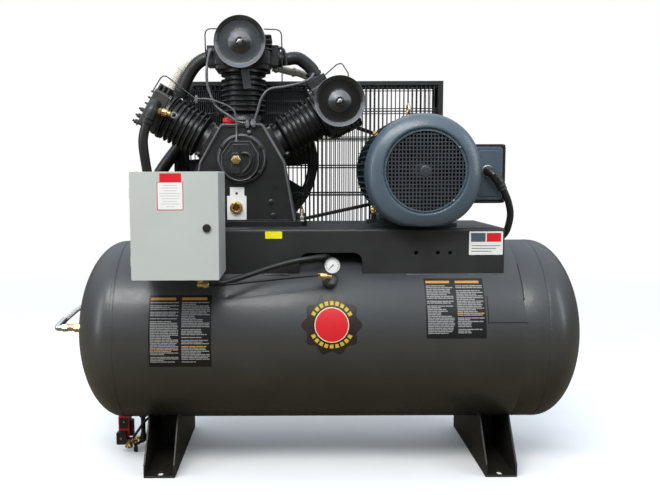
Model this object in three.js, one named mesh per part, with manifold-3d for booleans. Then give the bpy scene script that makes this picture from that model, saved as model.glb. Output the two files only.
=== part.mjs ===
// Horizontal-tank, two-stage, three-cylinder (W-type) belt-driven air compressor.
// Millimetres, +Z up, +X towards the motor end, -Y is the front.
// Dimensions are measured from the floor below the middle of the tank. The finished group is then
// shifted so that its origin is on the floor below the middle of the whole machine.
import * as THREE from 'three';
import { mergeVertices } from 'three/addons/utils/BufferGeometryUtils.js';
import Module from 'manifold-3d';

const wasm = await Module();
wasm.setup();

// ---------------------------------------------------------------- driving dimensions
const GAP = 0.3; // left between any two separate pieces
const RUNNING = 1; // radial clearance round a turning shaft, more than its facets need
const RIGHT_ANGLE = Math.PI / 2;
const BANK_ANGLE = Math.PI / 3; // between neighbouring cylinders

const tank = { radius: 305, length: 1700, wall: 6, headDepth: 152, axisZ: 446, portRadius: 14, facets: 32 };
const foot = { width: 102, centreX: 555, halfLength: 250, sheet: 6, lip: 43, reach: 142, slotInset: 25 };
const deck = { halfLength: 557, halfWidth: 215, topZ: 807, sheet: 6, skirt: 145 };
const arch = { x: 3, halfWidth: 101, height: 68, corner: 26 };

const crank = { x: -288, z: 1028, throw: 40, pinRadius: 20, journal: 26, nose: 22 };
const pump = { frontY: -80, backY: 160, facet: 120, shoulder: -8, waist: 178, wall: 10, footHalf: 216 };
const banks = {
  left: { angle: -BANK_ANGLE, y: 14, bore: 40 },
  centre: { angle: 0, y: 40, bore: 47.5 },
  right: { angle: BANK_ANGLE, y: 66, bore: 47.5 },
};
const barrel = { base: 120, flangeTop: 140, finStart: 168, finPitch: 17.5, fins: 8, top: 306, facets: 12 };
const piston = { toCrown: 43, toSkirt: 34, wall: 7, pin: 9 };
const rod = { length: 218, shank: 104 };
const filter = { radius: 81.5, height: 382, backY: -75, bodyY: -91, rimY: -146, noseY: -178 };

const motor = { x: 283, z: 993, radius: 176, barrel: 152, bore: 124, frontY: -295, frameY: -205,
    bellY: 128, endY: 172 };
const shaft = { radius: 21, rotor: 78 };
const fly = { radius: 262, rim: 26, hub: 46, frontY: 240, width: 66, windows: 6, firstWindow: -0.24 };
const pulley = { radius: 108, hub: 34 };
const belt = { depth: 11, halfWidth: 6, grooveDepth: 14, frontY: 262, backY: 284 };
const guard = { x0: -562, x1: 439, z0: 742, z1: 1323, slantX: 70, slantZ: 133, y0: 222, y1: 350, sheet: 3 };
const grille = { frame: 15, bar: 5, columns: 5, rows: [906, 1010, 1114, 1218] };

const box = { x0: -585, x1: -331, z0: 676, z1: 989, backY: -245, lipY: -436, sheet: 3 };
const door = { frontY: -452, sheet: 3 };
const latch = { x: -365, z: 827 };
const gauge = { x: 4, z: 697, frontY: -290, backY: -264, radius: 26 };
const drain = { x: -655, z: 38 };
const machineShift = { x: 67.5, y: 54.5 };
const relief = { x: -562, y: -82, z: 1191, slope: 0.28, length: 42 };

// ---------------------------------------------------------------- shape helpers
const point = (x, y, z) => new THREE.Vector3(x, y, z);

function finish(color, roughness, metalness) {
  return new THREE.MeshStandardMaterial({ color, roughness, metalness });
}

function outline(corners) {
  return new THREE.Shape(corners.map(([x, y]) => new THREE.Vector2(x, y)));
}

function circle(radius, sides, x = 0, y = 0) {
  const turn = (2 * Math.PI) / sides;
  return Array.from({ length: sides }, (_, i) => [x + radius * Math.cos(i * turn),
      y + radius * Math.sin(i * turn)]);
}

// A flat outline in the X-Z plane, given thickness from y0 to y1.
function slabXZ(shape, y0, y1) {
  const slab = new THREE.ExtrudeGeometry(shape, { depth: y1 - y0, bevelEnabled: false });
  return slab.rotateX(RIGHT_ANGLE).translate(0, y1, 0);
}

// A flat outline in the Y-Z plane, given thickness from x0 to x1.
function slabYZ(shape, x0, x1) {
  const slab = new THREE.ExtrudeGeometry(shape, { depth: x1 - x0, bevelEnabled: false });
  return slab.rotateX(RIGHT_ANGLE).rotateZ(RIGHT_ANGLE).translate(x0, 0, 0);
}

// A flat outline in the X-Y plane, given thickness from z0 to z1.
function slabXY(shape, z0, z1) {
  return new THREE.ExtrudeGeometry(shape, { depth: z1 - z0, bevelEnabled: false }).translate(0, 0, z0);
}

function block(x0, x1, y0, y1, z0, z1) {
  const shape = new THREE.BoxGeometry(x1 - x0, y1 - y0, z1 - z0);
  return shape.translate((x0 + x1) / 2, (y0 + y1) / 2, (z0 + z1) / 2);
}

// Turned shapes: [radius, place along the axis], up the outside and down the inside.
function turnedY(profile, facets) {
  return new THREE.LatheGeometry(profile.map(([r, s]) => new THREE.Vector2(r, s)), facets);
}
const turnedZ = (profile, facets) => turnedY(profile, facets).rotateX(RIGHT_ANGLE);
const turnedX = (profile, facets) => turnedY(profile, facets).rotateZ(-RIGHT_ANGLE);
const ringOf = (profile) => [...profile, profile[0]];

const barProfile = (radius, s0, s1) => [[0, s0], [radius, s0], [radius, s1], [0, s1]];
const barX = (radius, x0, x1, facets = 12) => turnedX(barProfile(radius, x0, x1), facets);
const barY = (radius, y0, y1, facets = 12) => turnedY(barProfile(radius, y0, y1), facets);
const barZ = (radius, z0, z1, facets = 12) => turnedZ(barProfile(radius, z0, z1), facets);

// A round hose or pipe along a smooth curve through the given points.
function hose(points, radius, steps, sides = 8) {
  const path = new THREE.CatmullRomCurve3(points, false, 'centripetal');
  const options = { steps, extrudePath: path, bevelEnabled: false };
  return new THREE.ExtrudeGeometry(outline(circle(radius, sides)), options);
}

// ---------------------------------------------------------------- joining and cutting
function toSolid(geometry) {
  const bare = geometry.clone();
  bare.deleteAttribute('normal');
  bare.deleteAttribute('uv');
  const merged = mergeVertices(bare, 1e-3);
  const vertProperties = new Float32Array(merged.attributes.position.array);
  const triVerts = new Uint32Array(merged.index.array);
  return new wasm.Manifold(new wasm.Mesh({ numProp: 3, vertProperties, triVerts }));
}

function toGeometry(solid) {
  const mesh = solid.getMesh();
  const geometry = new THREE.BufferGeometry();
  geometry.setAttribute('position', new THREE.BufferAttribute(new Float32Array(mesh.vertProperties), 3));
  geometry.setIndex(new THREE.BufferAttribute(new Uint32Array(mesh.triVerts), 1));
  geometry.computeVertexNormals();
  return geometry;
}

function join(first, ...others) {
  return toGeometry(others.reduce((whole, next) => whole.add(toSolid(next)), toSolid(first)));
}

function cut(body, ...tools) {
  return toGeometry(tools.reduce((rest, tool) => rest.subtract(toSolid(tool)), toSolid(body)));
}

// ---------------------------------------------------------------- receiver tank
// The tank's outside, grown or shrunk by an offset: a bar with elliptical ends.
function tankForm(offset, facets = tank.facets, headSteps = 5) {
  const radius = tank.radius + offset;
  const headDepth = tank.headDepth + offset;
  const shoulder = tank.length / 2 - tank.headDepth;
  const half = [[0, shoulder + headDepth]];
  for (let i = 1; i <= headSteps; i++) {
    const angle = (i / headSteps) * RIGHT_ANGLE;
    half.push([radius * Math.sin(angle), shoulder + headDepth * Math.cos(angle)]);
  }
  const other = half.map(([r, s]) => [r, -s]);
  return turnedX([...other, ...half.reverse()], facets).translate(0, 0, tank.axisZ);
}

function tankShell() {
  const end = tank.length / 2;
  const port = barX(tank.portRadius, -end - 20, -end + 40).translate(0, 0, tank.axisZ);
  return cut(tankForm(0), tankForm(-tank.wall, tank.facets / 2, 4), port);
}

// One saddle: a folded channel across the tank, its two flanges welded to the shell.
function tankFoot(centreX) {
  const { width, halfLength, sheet, lip, reach } = foot;
  const shellZ = tank.axisZ - Math.sqrt(tank.radius ** 2 - reach ** 2);
  const insideShell = tank.axisZ - tank.radius + 60;
  const flange = outline([
    [-halfLength, 0], [halfLength, 0], [halfLength, lip], [reach, shellZ + 4],
    [0, insideShell], [-reach, shellZ + 4], [-halfLength, lip],
  ]);
  const left = centreX - width / 2;
  const right = centreX + width / 2;
  const slotY = halfLength - foot.slotInset;
  const slot = (y) => slabXY(outline(circle(8.5, 8, centreX, y)), -1, sheet + 1);
  const channel = join(
    block(left, right, -halfLength, halfLength, 0, sheet),
    slabYZ(flange, left, left + sheet),
    slabYZ(flange, right - sheet, right),
  );
  return cut(channel, tankForm(2 * GAP), slot(-slotY), slot(slotY));
}

// ---------------------------------------------------------------- deck
function archOutline() {
  const base = deck.topZ - deck.skirt - 10;
  const top = deck.topZ - deck.skirt + arch.height;
  const { x, halfWidth, corner } = arch;
  const bend = corner * 0.3;
  const half = [[halfWidth, base], [halfWidth, top - corner], [halfWidth - bend, top - bend],
      [halfWidth - corner, top]];
  const other = half.map(([dx, z]) => [x - dx, z]).reverse();
  return outline([...half.map(([dx, z]) => [x + dx, z]), ...other]);
}

function deckPlate() {
  const { halfLength, halfWidth, topZ, sheet, skirt } = deck;
  const holeZ = topZ - skirt / 2;
  const skirtFace = (shape) => slabXZ(shape, -halfWidth - 1, sheet - halfWidth + 1);
  const hole = (x) => skirtFace(outline(circle(7, 8, x, holeZ)));
  const channel = cut(
    block(-halfLength, halfLength, -halfWidth, halfWidth, topZ - skirt - 2, topZ),
    block(-halfLength - 1, halfLength + 1, sheet - halfWidth, halfWidth - sheet, topZ - skirt - 3,
        topZ - sheet),
  );
  const cableSlot = block(-38, 57, 72, 92, topZ - sheet - 1, topZ + 1);
  return cut(channel, tankForm(2 * GAP), skirtFace(archOutline()), hole(276), hole(345), hole(384),
      cableSlot);
}

// ------------------------------------------------------ crankcase and its covers (crank axis frame)
// Front view of the crankcase: a flat facet square to each cylinder, and legs that widen to the foot.
function crankcaseOutline(facet, shoulder, waist, waistZ, base) {
  const halfWidthAt = (z) => (facet - z * Math.cos(BANK_ANGLE)) / Math.sin(BANK_ANGLE);
  const right = [[waist, base], [waist, waistZ], [halfWidthAt(shoulder), shoulder],
      [halfWidthAt(facet), facet]];
  const left = right.map(([x, z]) => [-x, z]).reverse();
  return outline([...right, ...left]);
}

function crankcase() {
  const { frontY, backY, facet, shoulder, waist, wall, footHalf } = pump;
  const floor = deck.topZ + GAP - crank.z;
  const flangeTop = floor + 18;
  const outside = slabXZ(crankcaseOutline(facet, shoulder, waist, flangeTop, floor), frontY, backY);
  const flange = block(-footHalf, footHalf, frontY - 18, backY + 18, floor, flangeTop);
  const inside = crankcaseOutline(facet - wall, shoulder - 2, waist - 13, flangeTop + 6, floor + 12);
  const cavity = slabXZ(inside, frontY + wall, backY - wall);
  const mainBore = barY(60, frontY - 5, backY + 5, 16);
  const openings = Object.values(banks).map((bank) =>
    barZ(bank.bore + 5, facet - wall - 8, facet + 5, barrel.facets).rotateY(bank.angle).translate(0,
        bank.y, 0));
  const boltX = footHalf - 16;
  const boltHoles = [[boltX, frontY + 2], [-boltX, frontY + 2], [boltX, backY - 2], [-boltX, backY - 2]]
    .map(([x, y]) => barZ(7, floor - 1, flangeTop + 1, 8).translate(x, y, 0));
  return cut(join(outside, flange), cavity, mainBore, ...openings, ...boltHoles);
}

// Front cover: bolted ring with a deep dish, a raised pad and a centre plug, around the front bearing.
function frontBearingCover() {
  const y = pump.frontY - GAP;
  const bore = crank.journal + RUNNING;
  const ring = turnedY(ringOf([[30, y - 34], [58, y - 34], [64, y - 14], [83, y - 12], [83, y], [57, y],
    [57, y + 22], [bore, y + 22], [bore, y - 20], [30, y - 24]]), 16);
  const plug = turnedY([[0, y - 46], [11, y - 46], [11, y - 38], [31, y - 36], [31, y - 22], [0, y - 22]],
      12);
  const pad = block(-24, 24, y - 36, y - 12, 33, 62);
  return join(ring, plug, pad);
}

function rearBearingCover() {
  const y = pump.backY + GAP;
  const bore = crank.journal + RUNNING;
  return turnedY(ringOf([[bore, y - 22], [57, y - 22], [57, y], [88, y], [88, y + 12], [52, y + 20],
      [bore, y + 20]]), 16);
}

function oilSightGlass() {
  const y = pump.frontY - GAP;
  const bezel = turnedY([[0, y - 12], [14, y - 12], [14, y - 16], [22, y - 16], [24, y - 3], [24, y - 1],
      [0, y - 1]], 16);
  const tag = outline([[-33, -43], [33, -43], [33, 38], [22, 38], [22, 71], [-22, 71], [-22, 38],
      [-33, 38]]);
  return join(bezel, slabXZ(tag, y - 2, y));
}

function oilFillCap() {
  const z = pump.facet + GAP;
  return turnedZ([[0, z], [12, z], [12, z + 8], [19, z + 8], [19, z + 24], [0, z + 24]], 12);
}

// ---------------------------------------------- cylinders and heads (bank frame: Z along the bore)
function cylinder(bank) {
  const inner = bank.bore + GAP;
  const base = barrel.base + GAP;
  const { flangeTop, finStart, finPitch, fins, top, facets } = barrel;
  const profile = [[inner, base], [66, base], [66, flangeTop], [57, flangeTop + 2], [57, finStart - 4]];
  for (let i = 0; i < fins - 1; i++) {
    const s = finStart + i * finPitch;
    profile.push([60, s], [78, s + 1], [78, s + 6], [60, s + 7]);
  }
  const last = finStart + (fins - 1) * finPitch;
  profile.push([60, last], [80, last], [80, top], [inner, top]);
  return turnedZ(ringOf(profile), facets);
}

// Low-pressure head: manifold block with pipe bosses, a finned upper part and an intake boss in front.
function lowPressureHead(pipeSides) {
  const base = barrel.top + GAP;
  const shoulder = base + 60;
  const fins = [0, 1, 2, 3].map((i) => block(-86, 99, -73, 72, shoulder + 2 + i * 14,
      shoulder + 9 + i * 14));
  const bosses = pipeSides.map((side) => block(106 * side - 16, 106 * side + 16, -36, 36, base + 16,
      base + 84));
  const whole = join(
    block(-96, 96, -73, 75, base, shoulder),
    block(-70, 70, -66, 66, shoulder - 5, shoulder + 53),
    block(-32, 32, -75, -60, base + 30, base + 108),
    ...bosses, ...fins,
  );
  return cut(whole, block(-80, 80, -60, 60, base - 1, base + 42));
}

// High-pressure head: smaller block, short side fins, low fins across its crown, a pipe boss behind.
function highPressureHead() {
  const base = barrel.top + GAP;
  const crown = base + 63;
  const sideFins = [0, 1, 2].map((i) => block(60, 92, -60, 4, base + 18 + i * 16, base + 26 + i * 16));
  const crownFins = [0, 1, 2, 3, 4].map((i) => block(-62 + i * 26, -52 + i * 26, -62, 62, crown - 4,
      crown + 11));
  const whole = join(
    block(-74, 68, -72, 72, base, crown),
    block(60, 104, 12, 66, base + 8, base + 56),
    ...sideFins, ...crownFins,
  );
  return cut(whole, block(-50, 50, -50, 50, base - 1, base + 50));
}

function filterBody() {
  const { radius, backY, bodyY, rimY } = filter;
  const outer = radius - 3;
  const back = backY - GAP;
  return turnedY(ringOf([[outer, rimY], [outer, bodyY - 4], [outer - 6, bodyY], [28, bodyY], [28, back],
    [24, back], [24, bodyY - 3], [outer - 3, bodyY - 5], [outer - 3, rimY]]), 16);
}

// Stamped filter cover with a central dome and the nut that holds it.
function filterCover() {
  const { radius, rimY, noseY } = filter;
  const back = rimY - GAP;
  return turnedY([[0, noseY - 8], [6, noseY - 8], [8, noseY], [30, noseY + 4], [40, noseY + 10],
      [68, noseY + 8],
    [radius - 4, noseY + 12], [radius, noseY + 18], [radius, back], [radius - 3, back],
    [radius - 5, back - 14], [0, back - 14]], 16);
}

// Trunk piston with three ring grooves and its wrist pin, around the pin's centre.
function pistonBody(bank) {
  const outer = bank.bore - GAP;
  const inner = outer - piston.wall;
  const { toCrown, toSkirt, pin } = piston;
  const groove = (s) => [[outer, s], [outer - 3, s], [outer - 3, s + 3], [outer, s + 3]];
  const cup = turnedZ([[0, toCrown - 10], [inner, toCrown - 10], [inner, -toSkirt], [outer, -toSkirt],
    ...groove(toCrown - 26), ...groove(toCrown - 17), ...groove(toCrown - 8), [outer, toCrown],
        [0, toCrown]], barrel.facets);
  return join(cup, barY(pin, -inner - 2, inner + 2, 10));
}

// Small end and shank of the connecting rod, around the wrist pin. The big end is left open.
function rodShank() {
  const bore = piston.pin + 2 * GAP;
  const eye = turnedY(ringOf([[bore, -10], [17, -10], [17, 10], [bore, 10]]), 14);
  const shank = block(-7, 7, -8, 8, -rod.shank, -13);
  return join(eye, shank);
}

// ---------------------------------------------------------------- crankshaft and flywheel (crank axis frame)
function crankshaft() {
  const { journal, nose, pinRadius } = crank;
  const cheek = outline([[-26, 56], [26, 56], [34, 10], [70, -30], [56, -52], [30, -70],
    [-30, -70], [-56, -52], [-70, -30], [-34, 10]]);
  const flyEnd = fly.frontY + fly.width + 4;
  return join(
    barY(journal, pump.frontY - 18, -28, 16),
    slabXZ(cheek, -30, -8),
    barY(pinRadius, -10, 90, 16).translate(0, 0, crank.throw),
    slabXZ(cheek, 88, 110),
    barY(journal, 108, pump.backY + 28, 16),
    barY(nose, pump.backY + 20, flyEnd, 12),
  );
}

// Outside of a rim, front to back, with a V groove for each belt.
function groovedLand(radius) {
  const floor = radius - belt.grooveDepth;
  const groove = (y) => [[radius, y - 9.5], [floor, y - 7], [floor, y + 7], [radius, y + 9.5]];
  return [[radius, fly.frontY], ...groove(belt.frontY), ...groove(belt.backY),
      [radius, fly.frontY + fly.width]];
}

// Fan flywheel: grooved rim, hub, and a bladed web with narrow windows between the blades.
function flywheel() {
  const { radius, rim, hub, frontY, width, windows, firstWindow } = fly;
  const inner = radius - rim;
  const web = outline(circle(inner + 2, 24));
  for (let i = 0; i < windows; i++) {
    const middle = firstWindow + (i * 2 * Math.PI) / windows;
    const corner = (r, side) => new THREE.Vector2(r * Math.cos(middle + side), r * Math.sin(middle + side));
    web.holes.push(new THREE.Path([corner(110, -0.14), corner(228, -0.2), corner(228, 0.2),
        corner(110, 0.14)]));
  }
  const bore = crank.nose + GAP;
  const hubRing = turnedY(ringOf([[bore, frontY - 6], [hub, frontY - 6], [hub, frontY + width],
      [bore, frontY + width]]), 12);
  const shaftHole = barY(bore + 4, frontY, frontY + width, 12);
  return join(
    turnedY(ringOf([[inner, frontY], ...groovedLand(radius), [inner, frontY + width]]), 24),
    cut(slabXZ(web, frontY + 26, frontY + 40), shaftHole),
    hubRing,
  );
}

// ---------------------------------------------------------------- belts (crank axis frame)
// Loop around both pulleys at a depth below their rims, as tangent lines and arcs.
function beltLoop(depth) {
  const dx = motor.x - crank.x;
  const dz = motor.z - crank.z;
  const big = fly.radius - depth;
  const small = pulley.radius - depth;
  const along = Math.atan2(dz, dx);
  const lean = Math.acos((big - small) / Math.hypot(dx, dz));
  const arc = (cx, cz, r, from, to, steps) => Array.from({ length: steps + 1 }, (_, i) => {
    const angle = from + ((to - from) * i) / steps;
    return [cx + r * Math.cos(angle), cz + r * Math.sin(angle)];
  });
  const full = 2 * Math.PI;
  return [
    ...arc(0, 0, big, along + lean, along + full - lean, 18),
    ...arc(dx, dz, small, along - lean, along + lean, 10),
  ];
}

function vBelt(y) {
  const loop = outline(beltLoop(1));
  loop.holes.push(new THREE.Path(beltLoop(1 + belt.depth).map(([x, z]) => new THREE.Vector2(x, z))));
  return slabXZ(loop, y - belt.halfWidth, y + belt.halfWidth);
}

// ---------------------------------------------------------------- motor (motor axis frame)
function motorStatorFrame() {
  const { radius, barrel: wall, bore, frameY, bellY } = motor;
  const fins = 20;
  const finned = [];
  for (let i = 0; i < fins; i++) {
    const angle = (i / fins) * 2 * Math.PI;
    const place = (r, turn) => [r * Math.cos(angle + turn), r * Math.sin(angle + turn)];
    finned.push(place(wall, -0.07), place(radius, -0.03), place(radius, 0.03), place(wall, 0.07));
  }
  const body = outline(finned);
  body.holes.push(new THREE.Path(circle(bore, 16).map(([x, z]) => new THREE.Vector2(x, z))));
  const frontWall = turnedY(ringOf([[26, frameY], [bore + 4, frameY], [bore + 4, frameY + 14],
      [26, frameY + 14]]), 16);
  const legs = [[-1, -115], [1, -115], [-1, 75], [1, 75]].map(([side, y]) =>
    block(side * 98 - 24, side * 98 + 24, y - 30, y + 30, deck.topZ + 28 - motor.z, -88));
  const underside = block(-160, 160, frameY - 1, bellY + 1, -190, deck.topZ + 28 - motor.z);
  const eye = new THREE.TorusGeometry(17, 5, 6, 12).rotateY(RIGHT_ANGLE).translate(-12, -45, radius + 18);
  const eyeStem = barZ(8, radius - 8, radius + 6, 8).translate(-12, -45, 0);
  return join(cut(slabXZ(body, frameY, bellY), underside), frontWall, ...legs, eyeStem, eye);
}

function motorFanCover() {
  const { radius, frontY, frameY } = motor;
  const back = frameY - GAP;
  const shell = turnedY(ringOf([[radius - 40, frontY], [radius - 22, frontY + 4],
      [radius - 4, frontY + 22], [radius, frontY + 36],
    [radius, back], [radius - 4, back], [radius - 4, frontY + 36], [radius - 24, frontY + 9],
        [radius - 42, frontY + 6]]), 24);
  const pitch = 60;
  const half = 20;
  const vents = [];
  for (const x of [-pitch, 0, pitch]) {
    for (const z of [-pitch, 0, pitch]) vents.push(block(x - half, x + half, frontY, frontY + 6, z - half,
        z + half));
  }
  const disc = cut(barY(radius - 39, frontY + 1, frontY + 5, 24), ...vents);
  return join(shell, disc);
}

function motorEndBell() {
  const { radius, barrel: wall, bellY, endY } = motor;
  const front = bellY + GAP;
  const bore = shaft.radius + RUNNING;
  return turnedY(ringOf([[bore, front + 14], [wall - 8, front + 14], [wall - 8, front], [radius - 6, front],
    [radius - 6, front + 12], [wall - 22, endY - 8], [60, endY], [bore, endY]]), 16);
}

// Two slide rails across the deck with a pad under each motor leg.
function motorBase() {
  const z0 = deck.topZ + GAP - motor.z;
  const z1 = deck.topZ + 28 - GAP - motor.z;
  const rail = (y) => block(-140, 140, y - 26, y + 26, z0, z0 + 12);
  const pads = [[-1, -115], [1, -115], [-1, 75], [1, 75]].map(([side, y]) =>
    block(side * 98 - 26, side * 98 + 26, y - 26, y + 26, z0 + 10, z1));
  return join(rail(-115), rail(75), block(-14, 14, -115, 75, z0, z0 + 12), ...pads);
}

function motorShaft() {
  return join(barY(shaft.radius, motor.frameY - 42, fly.frontY + fly.width + 3, 18),
      barY(shaft.rotor, -150, 60, 16));
}

function motorFan() {
  const back = motor.frameY - 6;
  const bore = shaft.radius + GAP;
  const hub = turnedY(ringOf([[bore, back - 34], [38, back - 34], [38, back - 6], [146, back - 4],
      [146, back], [bore, back]]), 18);
  const blades = [0, 1, 2, 3, 4, 5].map((i) => block(34, 140, back - 34, back - 3, -2,
      2).rotateY((i * Math.PI) / 3));
  return join(hub, ...blades);
}

function motorPulley() {
  const bore = shaft.radius + GAP;
  const { frontY, width } = fly;
  const back = frontY + width;
  const inner = pulley.radius - 24;
  const web = [[inner, back], [inner, frontY + 42], [pulley.hub, frontY + 42], [pulley.hub, back],
      [bore, back],
    [bore, frontY - 4], [pulley.hub, frontY - 4], [pulley.hub, frontY + 24], [inner, frontY + 24]];
  return turnedY(ringOf([[inner, frontY], ...groovedLand(pulley.radius), ...web]), 18);
}

function junctionBox() {
  const left = motor.radius + 3;
  const right = left + 111;
  const face = outline([[left, -98], [left + 10, -108], [right - 8, -108], [right, -100], [right, 74],
      [right - 8, 82],
    [left + 10, 82], [left, 72]]);
  const neck = block(motor.radius - 10, left + 2, -100, -50, -24, 24);
  const gland = barY(17, -168, -148, 10).translate(left + 52, 0, -5);
  return cut(join(slabXZ(face, -150, 0), neck, gland), motorEnvelope());
}

function motorEnvelope() {
  return barY(motor.radius + 2, motor.frameY, motor.bellY, 30);
}

// ---------------------------------------------------------------- belt guard
function guardOutline(inset) {
  const { x0, x1, z0, z1, slantX, slantZ } = guard;
  const slantInset = inset * 0.5;
  return [[x1 - inset, z0 + inset], [x1 - inset, z1 - inset], [x0 + slantX + slantInset, z1 - inset],
    [x0 + inset, z1 - slantZ - slantInset], [x0 + inset, z0 + inset]];
}

// Flat grille: a frame with upright bars and four cross bars.
function guardGrille(y0, y1) {
  const { x0, x1, z0, z1, slantX } = guard;
  const { frame, bar, columns, rows } = grille;
  const left = x0 + slantX + frame;
  const pitch = (x1 - frame - left + bar) / columns;
  const edges = [z0 + frame - bar, ...rows, z1 - frame + bar];
  const windowAt = (a, b, c, d) => block(a, b, y0 - 1, y1 + 1, c, d);
  const windows = [];
  for (let row = 0; row < edges.length - 1; row++) {
    const low = edges[row] + bar;
    const high = edges[row + 1] - bar;
    for (let column = 0; column < columns; column++) {
      const start = left + column * pitch;
      windows.push(windowAt(start, start + pitch - bar, low, high));
    }
    if (high < z1 - guard.slantZ) windows.push(windowAt(x0 + frame, left - bar, low, high));
  }
  return cut(slabXZ(outline(guardOutline(1)), y0, y1), ...windows);
}

function beltGuardCasing() {
  const { y0, y1, sheet } = guard;
  const wall = outline(guardOutline(0));
  wall.holes.push(new THREE.Path(guardOutline(sheet).map(([x, z]) => new THREE.Vector2(x, z))));
  return join(slabXZ(wall, y0, y1), guardGrille(y1 - 4, y1));
}

function beltGuardFrontGrille() {
  const plate = guardGrille(guard.y0 - GAP - 4, guard.y0 - GAP);
  const opening = (radius, centre) => barY(radius, guard.y0 - 10, guard.y0 + 5, 16).translate(centre.x, 0,
      centre.z);
  return cut(plate, opening(40, crank), opening(40, motor));
}

// ---------------------------------------------------------------- pipes and hoses
function intercoolerLeft() {
  return hose([point(-410.5, 44, 1376), point(-430, 44, 1376), point(-462, 46, 1366), point(-490, 50, 1343),
    point(-519.4, 53, 1303.2), point(-528.4, 53, 1287.6)], 22, 12);
}

function intercoolerRight() {
  return hose([point(-165.5, 44, 1376), point(-150, 44, 1376), point(-135, 44, 1376),
      point(-112, 50, 1381), point(-88, 58, 1376), point(-52, 64, 1346),
    point(-43, 66, 1322.5)], 22, 12);
}

// High-pressure delivery: from the head's front, down beside the control box, back up to the aftercooler.
function dischargeHose() {
  return hose([point(-583, -58.5, 1212), point(-583, -70, 1212), point(-585, -82, 1209),
      point(-593, -92, 1184), point(-604, -94, 1146),
    point(-614, -92, 1095), point(-611, -80, 1030), point(-602, -60, 960), point(-590, -10, 905),
        point(-560, 70, 885),
    point(-520, 150, 915), point(-465, 185, 1000), point(-428, 197, 1080), point(-422, 199, 1119)], 16,
        24, 6);
}

// Finned cooler behind the cylinders, with its outlet pipe running down behind the deck's end.
function aftercooler() {
  const y = 199;
  const tubes = [1160, 1246].map((z) => barX(13, -474, -66, 6).translate(0, y, z));
  const fins = Array.from({ length: 6 }, (_, i) =>
      block(-462 + i * 74, -456 + i * 74, 186, 212, 1119.5, 1288));
  const outlet = hose([point(-462, 190, 1155), point(-500, 189, 1128), point(-545, 188, 1075),
      point(-611, 188, 985),
    point(-660, 200, 880), point(-692, 225, 765), point(-718, 252, 672)], 23, 14);
  return join(...tubes, ...fins, outlet);
}

// Braided hose from the cooler's outlet, around the tank's end to its port, with its threaded end.
function tankInletHose() {
  const braid = hose([point(-719, 254, 664), point(-752, 282, 606), point(-830, 280, 548),
      point(-900, 200, 515),
    point(-952, 100, 486), point(-974, 34, 456), point(-962, 4, 446), point(-930, 0, 446)], 12, 16, 6);
  const ferrule = barX(14, -940, -905, 10);
  const nut = barX(18, -905, -884, 6);
  const nipple = barX(12, -886, -846, 10);
  const swivel = barX(17, -876, -857, 6);
  return join(braid, join(ferrule, nut, nipple, swivel).translate(0, 0, tank.axisZ));
}

function unloaderLineLeft() {
  return hose([point(-400, 3, 1392), point(-400, -12, 1391), point(-408, -34, 1360),
      point(-412, -62, 1312), point(-404, -82, 1262),
    point(-384, -88, 1226), point(-344, -90, 1188), point(-300, -90, 1166), point(-272, -89, 1156)], 3.5,
        12, 5);
}

function unloaderLineRight() {
  return hose([point(-58, 25, 1328), point(-72, -20, 1322), point(-104, -60, 1306), point(-150, -80, 1278),
    point(-196, -88, 1254), point(-230, -90, 1216), point(-242, -90, 1176), point(-250, -89, 1150)], 3.5,
        12, 5);
}

// ---------------------------------------------------------------- control box
function controlBox() {
  const { x0, x1, z0, z1, backY, lipY, sheet } = box;
  const shell = cut(
    block(x0, x1, lipY, backY, z0, z1),
    block(x0 + sheet, x1 - sheet, lipY - 1, backY - sheet, z0 + sheet, z1 - sheet),
  );
  const standOff = (x) => block(x - 10, x + 10, backY - 1, -deck.halfWidth - GAP, z0 + 24, z0 + 104);
  return join(shell, standOff(x0 + 40), standOff(x1 - 40));
}

function boxDoor() {
  const { x0, x1, z0, z1, lipY } = box;
  const back = lipY - GAP;
  const panel = cut(
    block(x0, x1, door.frontY, back, z0, z1),
    block(x0 + door.sheet, x1 - door.sheet, door.frontY + door.sheet, back + 1, z0 + door.sheet,
        z1 - door.sheet),
  );
  return cut(panel, barY(7, door.frontY - 1, door.frontY + door.sheet + 1).translate(latch.x, 0, latch.z));
}

function doorLatch() {
  const front = door.frontY - GAP;
  return join(
    barY(12, front - 7, front, 16),
    barY(5.5, front - 1, front + 22),
    block(-5, 24, front + 18, front + 22, -6, 6),
  );
}

// Contactor with the overload relay below it and its reset button.
function motorStarter() {
  const back = box.backY - box.sheet - GAP;
  return join(
    block(-505, -415, back - 78, back, 806, 916),
    block(-498, -422, back - 92, back - 76, 826, 896),
    block(-500, -420, back - 66, back, 748, 807),
    barY(5, back - 74, back - 65, 8).translate(-440, 0, 776),
  );
}

function controlHose() {
  return hose([point(-352, -330, 675.5), point(-352, -330, 666), point(-342, -326, 656),
      point(-318, -312, 668), point(-262, -292, 684),
    point(-190, -266, 702), point(-110, -244, 714), point(-50, -232, 716), point(-12, -200, 714),
        point(6, -160, 722)], 9, 16, 6);
}

// ---------------------------------------------------------------- pressure gauge
function pressureGauge() {
  const { x, z, frontY, backY, radius } = gauge;
  const rim = radius - 4;
  const can = turnedY([[0, frontY + 8], [rim, frontY + 8], [rim, frontY], [radius, frontY],
      [radius, backY], [0, backY]], 20);
  const stem = barZ(6.5, -radius - 10, -radius + 4, 8).translate(0, (frontY + backY) / 2, 0);
  return join(can, stem).translate(x, 0, z);
}

// Pointer around the dial's centre, lying at zero on the lower left.
function gaugeNeedle() {
  const y = gauge.frontY + 3;
  const hub = barY(3, y - 1, gauge.frontY + 7.5, 8);
  const hand = outline([[-6, -2], [0, -2.2], [18, -0.6], [18, 0.6], [0, 2.2], [-6, 2]]);
  return join(hub, slabXZ(hand, y, y + 2).rotateY(-1.25 * Math.PI));
}

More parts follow.
